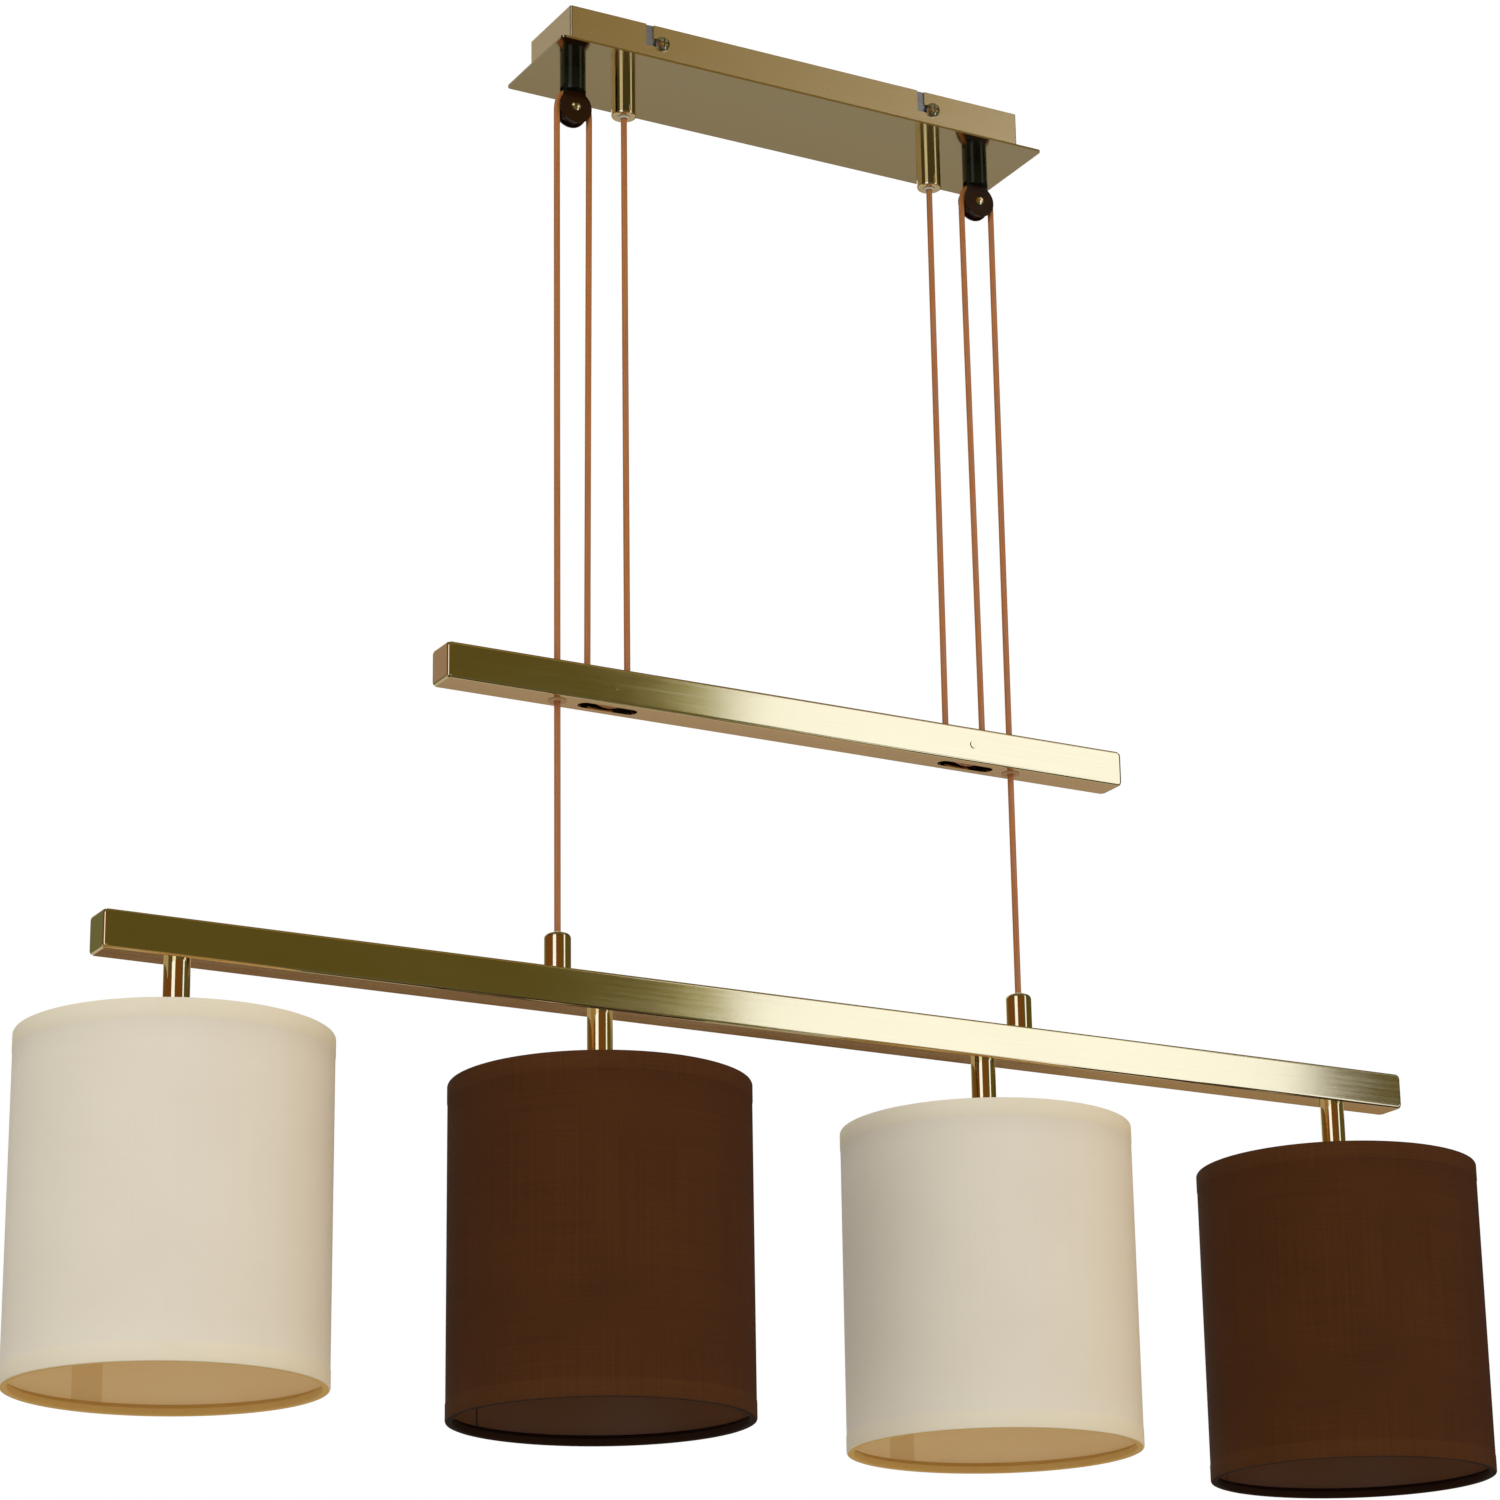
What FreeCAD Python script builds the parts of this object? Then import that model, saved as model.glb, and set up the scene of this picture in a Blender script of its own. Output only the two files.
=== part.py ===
import FreeCAD, Part
import math
import os
import Sketcher

# Rise and fall pendant with four drum shades.
# Frame: origin in the ceiling plane above the middle of the canopy, +Z up, +X along the bars,
# -Y towards the front. Everything hangs in -Z. Lengths are millimetres.

DRIVING_SIZES = {
    # canopy: a shallow box on a plate that stands out all round it
    "CanopyLength": 277.0,
    "CanopyDepth": 47.5,
    "CanopyHeight": 25.0,
    "CanopyWall": 1.0,
    "CanopyOverhang": 9.5,
    "PlateThickness": 1.2,
    "PlateCorner": 2.0,
    # bayonet slots in the canopy's long walls, and the screws in them
    "SideScrewInset": 54.5,
    "SideScrewDrop": 10.0,
    "BayonetWidth": 4.6,
    "BayonetShift": 7.3,
    "ScrewShankRadius": 1.95,
    "ScrewShankLength": 5.0,
    "ScrewHeadRadius": 4.0,
    "ScrewHeadHeight": 2.4,
    "CrossWidth": 1.0,
    "CrossReach": 2.3,
    "CrossDepth": 1.2,
    # ceiling bracket
    "BracketInset": 33.5,
    "BracketThickness": 1.5,
    "TabWidth": 26.0,
    "TabDrop": 17.0,
    "CeilingSlotSpacing": 120.0,
    "CeilingSlotLength": 12.0,
    "CeilingSlotWidth": 4.6,
    "SupplyHoleOffset": 30.0,
    "SupplyHoleRadius": 7.0,
    # terminal block
    "TerminalWidth": 16.0,
    "TerminalDepth": 30.0,
    "TerminalHeight": 14.0,
    "TerminalPitch": 9.0,
    "TerminalBoreRadius": 1.8,
    "TerminalScrewRadius": 1.6,
    "TerminalScrewHeight": 3.0,
    "TerminalScrewSink": 0.5,
    # lamp thread shared by the glands, posts and stems, and its nut
    "ThreadRadius": 5.0,
    "ThreadLength": 5.4,
    "ThreadClearance": 0.1,
    "NutFlats": 14.0,
    "NutThickness": 3.0,
    # glands
    "GlandRadius": 6.7,
    "CanopyGlandLength": 20.0,
    "LampGlandLength": 19.0,
    "CanopyGlandRounding": 1.0,
    "LampGlandRounding": 2.4,
    # cable
    "CableRadius": 1.6,
    "CableBoreClearance": 0.2,
    "RunningGap": 0.3,
    "CoreRadius": 0.9,
    # ceiling pulleys
    "PulleyInset": 13.2,
    "PulleyDrop": 22.0,
    "CeilingTurnRadius": 9.5,
    "PostRadius": 6.9,
    "CeilingWheelWidth": 3.4,
    "WheelSideGap": 0.2,
    "GrooveDepth": 0.7,
    "TineThickness": 0.8,
    "CheekRadius": 9.3,
    "CheekThickness": 1.0,
    "RivetRadius": 1.5,
    "RivetHeadRadius": 2.8,
    "RivetHeadHeight": 1.6,
    "AxleGap": 0.08,
    # how far a cutting shape runs past the face it cuts
    "Overcut": 1.0,
    # bars
    "BarSection": 19.0,
    "BarWall": 1.0,
    "BarCorner": 1.4,
    "CapThickness": 2.0,
    "CapCorner": 2.6,
    "CapEdge": 1.4,
    "CapPlugDepth": 6.0,
    "CapPlugGap": 0.1,
    # counterweight
    "CounterweightLength": 400.0,
    "CounterweightDrop": 360.0,
    "CableLean": 2.0,
    "CounterLoopRadius": 11.4,
    "CounterTurnRadius": 7.5,
    "CounterWheelRadius": 8.0,
    "CounterWheelWidth": 6.0,
    "CounterHubRadius": 4.0,
    "CounterAxleRadius": 2.1,
    "AxleStand": 0.5,
    "PulleySlotLength": 33.0,
    "PulleySlotWidth": 8.0,
    "BushRadius": 3.5,
    "BushDepth": 3.0,
    "BushFlangeRadius": 4.7,
    "BushFlangeThickness": 0.5,
    "BallastGap": 0.2,
    "BallastMargin": 3.0,
    # lamp bar
    "LampBarLength": 750.0,
    "LampBarDrop": 520.0,
    "StemInset": 40.5,
    "ConnectorLength": 28.0,
    "ConnectorDepth": 12.0,
    "ConnectorHeight": 12.0,
    # stems and lampholders
    "StemRadius": 6.4,
    "StemBoreRadius": 3.5,
    "StemLength": 46.0,
    "HolderLength": 50.0,
    "HolderCollarRadius": 8.5,
    "HolderFlangeRadius": 16.5,
    "HolderFlangeTop": 8.0,
    "HolderFlangeThickness": 3.0,
    "HolderSkirtRadius": 13.8,
    "HolderBoreRadius": 7.7,
    "SocketRadius": 7.15,
    "SocketDepth": 28.0,
    "ContactRadius": 3.5,
    "ContactThickness": 1.5,
    # shades
    "ShadeRadius": 75.0,
    "ShadeHeight": 165.0,
    "ShadeDrop": 37.0,
    "ShadeWall": 0.9,
    "HemWeb": 0.6,
    "RingWireRadius": 1.25,
    "RingGap": 0.1,
    "SpokeRadius": 1.2,
    "FitterRadius": 18.5,
    "FitterThickness": 1.5,
    "ClampRingRadius": 17.5,
    "ClampRingHeight": 6.0,
}
SHADE_NAMES = ("1", "2", "3", "4")
SIDES = (("left", -1), ("right", 1))
SPOKE_ANGLES = (90, 210, 330)
HEX_FLATS_TO_RADIUS = 1 / math.cos(math.radians(30))

doc = FreeCAD.newDocument("RiseAndFallPendant")
sheet = doc.addObject("Spreadsheet::Sheet", "Sizes")
for row, (alias, number) in enumerate(DRIVING_SIZES.items(), start=1):
    sheet.set(f"A{row}", alias)
    sheet.set(f"B{row}", str(number))
    sheet.setAlias(f"B{row}", alias)
doc.recompute()

nodes = []


class Length:
    """A length that keeps both its number and its formula on the sheet's cells."""

    def __init__(self, value, text):
        self.value = value
        self.text = text

    @staticmethod
    def of(other):
        return other if isinstance(other, Length) else Length(float(other), repr(float(other)))

    def __add__(self, other):
        other = Length.of(other)
        return Length(self.value + other.value, f"({self.text} + {other.text})")

    def __sub__(self, other):
        other = Length.of(other)
        return Length(self.value - other.value, f"({self.text} - {other.text})")

    def __mul__(self, other):
        other = Length.of(other)
        return Length(self.value * other.value, f"({self.text} * {other.text})")

    def __truediv__(self, other):
        other = Length.of(other)
        return Length(self.value / other.value, f"({self.text} / {other.text})")

    def __radd__(self, other):
        return Length.of(other) + self

    def __rsub__(self, other):
        return Length.of(other) - self

    def __rmul__(self, other):
        return Length.of(other) * self

    def __neg__(self):
        return Length(-self.value, f"(0 - {self.text})")


def size(alias):
    return Length(float(sheet.get(alias)), f"Sizes.{alias}")


def bind(item, name, length):
    """Set one size or coordinate of an object, by formula where it has one."""
    if isinstance(length, Length):
        item.setExpression(name, length.text)
    else:
        item.setExpression(name, repr(float(length)))


def place(item, x=0, y=0, z=0):
    for name, length in (("x", x), ("y", y), ("z", z)):
        bind(item, f"Placement.Base.{name}", length)
    return item


def keep(label, item):
    """Make an object one of the finished sub-parts."""
    item.Label = label
    nodes.append(item)
    return item


# ---------------------------------------------------------------- shapes

def block(name, x_span, y_span, z_span):
    item = doc.addObject("Part::Box", name)
    spans = (("Length", x_span), ("Width", y_span), ("Height", z_span))
    for side, (low, high) in spans:
        bind(item, side, high - Length.of(low))
    return place(item, x_span[0], y_span[0], z_span[0])


TURNS = {
    "x": FreeCAD.Rotation(FreeCAD.Vector(0, 1, 0), 90),
    "y": FreeCAD.Rotation(FreeCAD.Vector(1, 0, 0), -90),
    "z": FreeCAD.Rotation(),
}


def rod(name, axis, start, radius, length):
    """Cylinder that runs from start along +axis."""
    item = doc.addObject("Part::Cylinder", name)
    item.Placement = FreeCAD.Placement(FreeCAD.Vector(), TURNS[axis])
    bind(item, "Radius", radius)
    bind(item, "Height", length)
    return place(item, *start)


def join(name, items):
    item = doc.addObject("Part::MultiFuse", name)
    item.Shapes = items
    return item


def group(name, items):
    """Separate solids kept in one sub-part."""
    item = doc.addObject("Part::Compound", name)
    item.Links = items
    return item


def cut(name, base, tools):
    item = doc.addObject("Part::Cut", name)
    item.Base = base
    item.Tool = tools[0] if len(tools) == 1 else join(name + "Tools", tools)
    return item


def origin_plane(body, role):
    return next(item for item in body.Origin.OriginFeatures if item.Role == role)


def outline(body, name, role, corners_list):
    """Sketch of closed outlines, with every corner bound to its two formulas."""
    sketch = body.newObject("Sketcher::SketchObject", name)
    sketch.AttachmentSupport = (origin_plane(body, role), [""])
    sketch.MapMode = "FlatFace"
    for corners in corners_list:
        corners = [(Length.of(across), Length.of(along)) for across, along in corners]
        first = sketch.GeometryCount
        points = [FreeCAD.Vector(across.value, along.value, 0) for across, along in corners]
        for start, end in zip(points, points[1:] + points[:1]):
            sketch.addGeometry(Part.LineSegment(start, end), False)
        count = len(corners)
        for step, (across, along) in enumerate(corners):
            line = first + step
            after = first + (step + 1) % count
            sketch.addConstraint(Sketcher.Constraint("Coincident", line, 2, after, 1))
            for kind, length in (("DistanceX", across), ("DistanceY", along)):
                place_in_list = sketch.addConstraint(
                    Sketcher.Constraint(kind, -1, 1, line, 1, length.value))
                sketch.setExpression(f"Constraints[{place_in_list}]", length.text)
    return sketch


def rectangle(half_across, half_along):
    return [(-half_across, -half_along), (half_across, -half_along),
            (half_across, half_along), (-half_across, half_along)]


def new_body(name):
    return doc.addObject("PartDesign::Body", name)


def turned(name, corners, role="XZ_Plane"):
    """Round piece: an outline of (radius, height) corners spun about the sketch's upright."""
    body = new_body(name)
    sketch = outline(body, name + "Outline", role, [corners])
    spin = body.newObject("PartDesign::Revolution", name + "Spin")
    spin.Profile = sketch
    spin.ReferenceAxis = (sketch, ["V_Axis"])
    spin.Angle = 360
    return body


def groove(body, sketch_name, role, ring_radius, section_radius):
    """Round groove for the cable in a turned wheel."""
    sketch = body.newObject("Sketcher::SketchObject", sketch_name)
    sketch.AttachmentSupport = (origin_plane(body, role), [""])
    sketch.MapMode = "FlatFace"
    center = FreeCAD.Vector(ring_radius.value, 0, 0)
    circle = Part.Circle(center, FreeCAD.Vector(0, 0, 1), section_radius.value)
    sketch.addGeometry(circle, False)
    sketch.addConstraint(Sketcher.Constraint("PointOnObject", 0, 3, -1))
    across = sketch.addConstraint(
        Sketcher.Constraint("DistanceX", -1, 1, 0, 3, ring_radius.value))
    radius = sketch.addConstraint(Sketcher.Constraint("Radius", 0, section_radius.value))
    sketch.setExpression(f"Constraints[{across}]", ring_radius.text)
    sketch.setExpression(f"Constraints[{radius}]", section_radius.text)
    ring = body.newObject("PartDesign::Groove", sketch_name + "Cut")
    ring.Profile = sketch
    ring.ReferenceAxis = (sketch, ["V_Axis"])
    ring.Angle = 360
    return body


def fillet(body, feature, radius, wanted):
    """Round the edges of a body's last feature that the test picks."""
    doc.recompute()
    names = [f"Edge{number}" for number, edge in enumerate(feature.Shape.Edges, start=1)
             if wanted(edge)]
    rounding = body.newObject("PartDesign::Fillet", body.Name + "Rounding")
    rounding.Base = (feature, names)
    bind(rounding, "Radius", radius)
    body.Tip = rounding
    return body


def extruded(name, role, outlines, length):
    """Body pushed out evenly to both sides of an origin plane."""
    body = new_body(name)
    sketch = outline(body, name + "Outline", role, outlines)
    pad = body.newObject("PartDesign::Pad", name + "Pad")
    pad.Profile = sketch
    pad.SideType = "Symmetric"
    bind(pad, "Length", length)
    return body, pad


def near(first, second):
    return abs(first - second) < 1e-4


# ---------------------------------------------------------------- shared places

cable_radius = size("CableRadius")
plate_bottom = -size("CanopyHeight")
plate_top = plate_bottom + size("PlateThickness")
wall_half_length = size("CanopyLength") / 2
wall_half_depth = size("CanopyDepth") / 2
inner_half_depth = wall_half_depth - size("CanopyWall")
screw_offset = wall_half_length - size("SideScrewInset")
screw_z = -size("SideScrewDrop")
overcut = size("Overcut")

pulley_x = wall_half_length - size("PulleyInset")
pulley_z = plate_bottom - size("PulleyDrop")
drop_x = pulley_x + size("CeilingTurnRadius")
return_x = pulley_x - size("CeilingTurnRadius")
drop_top = pulley_z - 2 * cable_radius
counter_wheel_x = return_x + size("CableLean") - size("CounterLoopRadius")
canopy_gland_x = counter_wheel_x - size("CounterLoopRadius")
canopy_gland_end = plate_bottom - size("CanopyGlandLength")

bar_half = size("BarSection") / 2
bar_inner_half = bar_half - size("BarWall")
counter_top = -size("CounterweightDrop")
counter_z = counter_top - bar_half
loop_z = counter_z - size("CounterTurnRadius") + size("CounterLoopRadius")
lamp_top = -size("LampBarDrop")
lamp_z = lamp_top - bar_half
lamp_bottom = lamp_top - size("BarSection")
lamp_gland_end = lamp_top + size("LampGlandLength")
shade_top = lamp_bottom - size("ShadeDrop")
holder_top = lamp_bottom - size("StemLength")

bore_radius = cable_radius + size("CableBoreClearance")
thread_hole = size("ThreadRadius") + size("ThreadClearance")
nut_radius = size("NutFlats") / 2 * HEX_FLATS_TO_RADIUS
last_stem_x = size("LampBarLength") / 2 - size("StemInset")
stem_places = {name: last_stem_x * (2 * index / (len(SHADE_NAMES) - 1) - 1)
               for index, name in enumerate(SHADE_NAMES)}


def hex_nut(name, x, z):
    prism = doc.addObject("Part::Prism", name + "Hex")
    prism.Polygon = 6
    bind(prism, "Circumradius", nut_radius)
    bind(prism, "Height", size("NutThickness"))
    place(prism, x, 0, z)
    hole = rod(name + "Hole", "z", (x, 0, z - overcut), thread_hole,
               size("NutThickness") + 2 * overcut)
    return cut(name, prism, [hole])


# ---------------------------------------------------------------- canopy

def bayonet(name, sign, outer_y):
    """L-shaped cut that opens at the wall's top and ends under the screw."""
    half = size("BayonetWidth") / 2
    screw_x = sign * screw_offset
    leg_x = screw_x - size("BayonetShift")
    y_span = (outer_y - 2 * size("CanopyWall"), outer_y + 2 * size("CanopyWall"))
    leg = block(name + "Leg", (leg_x - half, leg_x + half), y_span, (screw_z - half, overcut))
    foot = block(name + "Foot", (leg_x, screw_x), y_span, (screw_z - half, screw_z + half))
    end = rod(name + "End", "y", (screw_x, y_span[0], screw_z), half,
              y_span[1] - y_span[0])
    return [leg, foot, end]


def make_canopy_shell():
    outer = rectangle(wall_half_length, wall_half_depth)
    inner = rectangle(wall_half_length - size("CanopyWall"), inner_half_depth)
    height = size("CanopyHeight") - size("PlateThickness")
    walls, pad = extruded("WallRing", "XY_Plane", [outer, inner], height)
    fillet(walls, pad, size("CanopyWall"), lambda edge: (
        near(edge.BoundBox.ZLength, height.value)
        and near(abs(edge.CenterOfMass.x), wall_half_length.value)
        and near(abs(edge.CenterOfMass.y), wall_half_depth.value)))
    place(walls, 0, 0, plate_top + height / 2)
    slots = []
    for side, sign in SIDES:
        slots += bayonet("FrontSlot" + side, sign, -wall_half_depth)
        slots += bayonet("RearSlot" + side, sign, wall_half_depth)
    keep("canopy_wall_frame", cut("CanopyWalls", walls, slots))

    plate, pad = extruded(
        "Plate", "XY_Plane",
        [rectangle(wall_half_length + size("CanopyOverhang"),
                   wall_half_depth + size("CanopyOverhang"))],
        size("PlateThickness"))
    fillet(plate, pad, size("PlateCorner"),
           lambda edge: near(edge.BoundBox.ZLength, size("PlateThickness").value))
    place(plate, 0, 0, plate_bottom + size("PlateThickness") / 2)
    holes = [rod(f"PlateHole{side}{kind}", "z", (sign * x, 0, plate_bottom - overcut),
                 thread_hole, size("PlateThickness") + 2 * overcut)
             for side, sign in SIDES
             for kind, x in (("Gland", canopy_gland_x), ("Post", pulley_x))]
    keep("canopy_base_plate", cut("CanopyPlate", plate, holes))


def make_bracket():
    thickness = size("BracketThickness")
    half_length = wall_half_length - size("BracketInset")
    parts = [block("Strap", (-half_length, half_length),
                   (-inner_half_depth, inner_half_depth), (-thickness, 0))]
    tools = []
    tab_half = size("TabWidth") / 2
    for side, sign in SIDES:
        x = sign * screw_offset - size("BayonetShift") / 2
        for edge_name, low in (("Front", -inner_half_depth),
                               ("Rear", inner_half_depth - thickness)):
            parts.append(block(f"Tab{edge_name}{side}", (x - tab_half, x + tab_half),
                               (low, low + thickness), (-size("TabDrop"), 0)))
        tools.append(rod("TabHole" + side, "y",
                         (sign * screw_offset, -wall_half_depth, screw_z),
                         size("ScrewShankRadius") + 0.5 * size("AxleGap"),
                         size("CanopyDepth")))
        middle = sign * size("CeilingSlotSpacing") / 2
        reach = (size("CeilingSlotLength") - size("CeilingSlotWidth")) / 2
        half = size("CeilingSlotWidth") / 2
        tools.append(block("CeilingSlot" + side, (middle - reach, middle + reach),
                           (-half, half), (-2 * thickness, thickness)))
        for end_name, end in (("Inner", middle - reach), ("Outer", middle + reach)):
            tools.append(rod(f"CeilingSlot{end_name}{side}", "z", (end, 0, -2 * thickness),
                             half, 3 * thickness))
    tools.append(rod("SupplyHole", "z", (size("SupplyHoleOffset"), 0, -2 * thickness),
                     size("SupplyHoleRadius"), 3 * thickness))
    keep("ceiling_bracket", cut("Bracket", join("BracketBlank", parts), tools))


def side_screw(name, sign, facing):
    """Pan-head cross screw; facing is -1 at the front wall and +1 at the rear one."""
    wall = facing * wall_half_depth
    head = facing * size("ScrewHeadHeight")
    shank = size("ScrewShankRadius")
    rim = size("ScrewHeadRadius")
    screw = turned(name + "Body", [
        (0, wall + head), (0.55 * rim, wall + head), (0.9 * rim, wall + 0.7 * head),
        (rim, wall + 0.3 * head), (rim, wall), (shank, wall),
        (shank, wall - facing * size("ScrewShankLength")),
        (0, wall - facing * size("ScrewShankLength"))], "XY_Plane")
    place(screw, sign * screw_offset, 0, screw_z)
    x = sign * screw_offset
    face = wall + head
    deep = face - facing * size("CrossDepth")
    proud = face + facing * size("CrossDepth")
    y_span = (deep, proud) if facing > 0 else (proud, deep)
    half = size("CrossWidth") / 2
    reach = size("CrossReach")
    level = block(name + "Level", (x - reach, x + reach), y_span,
                  (screw_z - half, screw_z + half))
    upright = block(name + "Upright", (x - half, x + half), y_span,
                    (screw_z - reach, screw_z + reach))
    return cut(name, screw, [level, upright])


def make_side_screws():
    screws = [side_screw(f"Screw{side}{edge_name}", sign, facing)
              for side, sign in SIDES
              for edge_name, facing in (("Front", -1), ("Rear", 1))]
    keep("canopy_side_screws", group("SideScrews", screws))


def make_terminal_block():
    half_width = size("TerminalWidth") / 2
    half_depth = size("TerminalDepth") / 2
    top = -size("BracketThickness")
    bottom = top - size("TerminalHeight")
    core_z = (top + bottom) / 2
    housing = block("TerminalHousing", (-half_width, half_width), (-half_depth, half_depth),
                    (bottom, top))
    tools = []
    screws = []
    for pole in (-1, 0, 1):
        y = pole * size("TerminalPitch")
        tools.append(rod(f"TerminalBore{pole + 1}", "x", (-half_width - overcut, y, core_z),
                         size("TerminalBoreRadius"), size("TerminalWidth") + 2 * overcut))
        for side, sign in SIDES:
            x = sign * half_width / 2
            start = (x, y, bottom - overcut)
            tools.append(rod(f"TerminalWell{pole + 1}{side}", "z", start,
                             size("TerminalScrewRadius") + size("ThreadClearance"),
                             core_z - start[2] - size("CoreRadius")))
            screws.append(rod(f"TerminalScrew{pole + 1}{side}", "z",
                              (x, y, bottom + size("TerminalScrewSink")),
                              size("TerminalScrewRadius"), size("TerminalScrewHeight")))
    keep("terminal_block", cut("TerminalBlock", housing, tools))
    keep("terminal_screws", group("TerminalScrews", screws))


def gland_outline(length):
    """Gland standing on z = 0 with its thread below; its mouth is at z = length."""
    return [(bore_radius, -size("ThreadLength")), (size("ThreadRadius"), -size("ThreadLength")),
            (size("ThreadRadius"), 0), (size("GlandRadius"), 0),
            (size("GlandRadius"), length), (bore_radius, length)]


def make_gland(label, x, z, length, rounding, hangs):
    corners = gland_outline(length)
    if hangs:
        corners = [(across, -Length.of(along)) for across, along in corners]
    gland = turned(label + "Body", corners)
    mouth = -length if hangs else length
    fillet(gland, gland.Tip, rounding, lambda edge: (
        near(edge.CenterOfMass.z, mouth.value) and near(edge.BoundBox.ZLength, 0)
        and near(edge.BoundBox.XLength, 2 * size("GlandRadius").value)))
    return keep(label, place(gland, x, 0, z))


def make_canopy_glands():
    for side, sign in SIDES:
        make_gland(f"canopy_gland_{side}", sign * canopy_gland_x, plate_bottom,
                   size("CanopyGlandLength"), size("CanopyGlandRounding"), True)
    nuts = [hex_nut(f"CanopyNut{side}{kind}", sign * x, plate_top)
            for side, sign in SIDES
            for kind, x in (("Gland", canopy_gland_x), ("Post", pulley_x))]
    keep("canopy_nuts", group("CanopyNuts", nuts))


fork_half_gap = size("CeilingWheelWidth") / 2 + size("WheelSideGap")
fork_half_width = fork_half_gap + size("TineThickness")
cheek_outer = fork_half_width + size("CheekThickness")


def make_pulley_post(side, sign):
    """Round post whose lower end is forked for the wheel and flattened for the cheeks."""
    x = sign * pulley_x
    radius = size("PostRadius")
    name = "Post" + side
    foot = pulley_z + size("CheekRadius") - 0.5 * radius
    shoulder = pulley_z + size("CheekRadius") + size("RunningGap")
    slot_top = pulley_z + size("CeilingTurnRadius") + cable_radius + size("RunningGap")
    barrel = rod(name + "Barrel", "z", (x, 0, foot), radius, plate_bottom - foot)
    flats = [block(name + "FlatFront", (x - 2 * radius, x + 2 * radius),
                   (-2 * radius, -fork_half_width), (foot - overcut, shoulder)),
             block(name + "FlatRear", (x - 2 * radius, x + 2 * radius),
                   (fork_half_width, 2 * radius), (foot - overcut, shoulder))]
    tongue = block(name + "Tongue", (x - radius, x + radius),
                   (-fork_half_width, fork_half_width), (pulley_z, foot))
    toe = rod(name + "Toe", "y", (x, -fork_half_width, pulley_z), radius, 2 * fork_half_width)
    thread = rod(name + "Thread", "z", (x, 0, plate_bottom), size("ThreadRadius"),
                 size("ThreadLength"))
    blank = join(name + "Blank",
                 [cut(name + "Shank", barrel, flats), tongue, toe, thread])
    slot = block(name + "Slot", (x - 2 * radius, x + 2 * radius),
                 (-fork_half_gap, fork_half_gap), (pulley_z - 2 * radius, slot_top))
    hole = rod(name + "Hole", "y", (x, -2 * radius, pulley_z),
               size("RivetRadius") + size("AxleGap") / 2, 4 * radius)
    keep("pulley_post_" + side, cut(name, blank, [slot, hole]))


def make_pulley_cheeks(side, sign):
    cheeks = []
    for edge_name, low in (("Front", -cheek_outer), ("Rear", fork_half_width)):
        start = (sign * pulley_x, low, pulley_z)
        disc = rod(f"Cheek{edge_name}{side}Disc", "y", start, size("CheekRadius"),
                   size("CheekThickness"))
        hole = rod(f"Cheek{edge_name}{side}Hole", "y", start,
                   size("RivetRadius") + size("AxleGap") / 2, size("CheekThickness"))
        cheeks.append(cut(f"Cheek{edge_name}{side}", disc, [hole]))
    keep("pulley_cheeks_" + side, group("Cheeks" + side, cheeks))


def make_pulley_rivet(side, sign):
    shank = size("RivetRadius")
    head = size("RivetHeadRadius")
    rise = size("RivetHeadHeight")
    half = [(shank, cheek_outer), (head, cheek_outer), (0.9 * head, cheek_outer + 0.5 * rise),
            (0.55 * head, cheek_outer + 0.9 * rise), (0, cheek_outer + rise)]
    mirrored = [(across, -Length.of(along)) for across, along in reversed(half)]
    rivet = turned("Rivet" + side, half + mirrored, "XY_Plane")
    keep("pulley_rivet_" + side, place(rivet, sign * pulley_x, 0, pulley_z))


def make_ceiling_wheel(side, sign):
    half = size("CeilingWheelWidth") / 2
    groove_radius = cable_radius + size("RunningGap")
    rim = size("CeilingTurnRadius") - groove_radius + size("GrooveDepth")
    bore = size("RivetRadius") + size("AxleGap")
    wheel = turned("CeilingWheel" + side,
                   [(bore, -half), (rim, -half), (rim, half), (bore, half)], "XY_Plane")
    groove(wheel, "CeilingGroove" + side, "XY_Plane", size("CeilingTurnRadius"), groove_radius)
    keep("ceiling_wheel_" + side, place(wheel, sign * pulley_x, 0, pulley_z))


# ---------------------------------------------------------------- counterweight

def square_tube(name, length):
    tube, pad = extruded(name, "YZ_Plane", [rectangle(bar_half, bar_half),
                                            rectangle(bar_inner_half, bar_inner_half)], length)
    fillet(tube, pad, size("BarCorner"), lambda edge: (
        near(edge.BoundBox.XLength, length.value)
        and near(abs(edge.CenterOfMass.y), bar_half.value)))
    return tube


def make_bar_caps(label, bar_length, z):
    for side, sign in SIDES:
        end = sign * bar_length / 2
        inner = end - sign * size("CapThickness")
        tip = inner - sign * size("CapPlugDepth")
        plug_half = bar_inner_half - size("CapPlugGap")
        lid_span = (end, inner) if sign < 0 else (inner, end)
        plug_span = (inner, tip) if sign < 0 else (tip, inner)
        lid, pad = extruded(label + side + "Lid", "YZ_Plane", [rectangle(bar_half, bar_half)],
                            size("CapThickness"))
        fillet(lid, pad, size("CapCorner"),
               lambda edge: near(edge.BoundBox.XLength, size("CapThickness").value))
        face_x = sign * size("CapThickness").value / 2
        fillet(lid, lid.Tip, size("CapEdge"),
               lambda edge: near(edge.BoundBox.XMin, face_x) and near(edge.BoundBox.XMax, face_x))
        place(lid, (lid_span[0] + lid_span[1]) / 2, 0, z)
        plug = block(label + side + "Plug", plug_span, (-plug_half, plug_half),
                     (z - plug_half, z + plug_half))
        keep(f"{label}_cap_{side}", join(label + side + "Cap", [lid, plug]))


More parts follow.
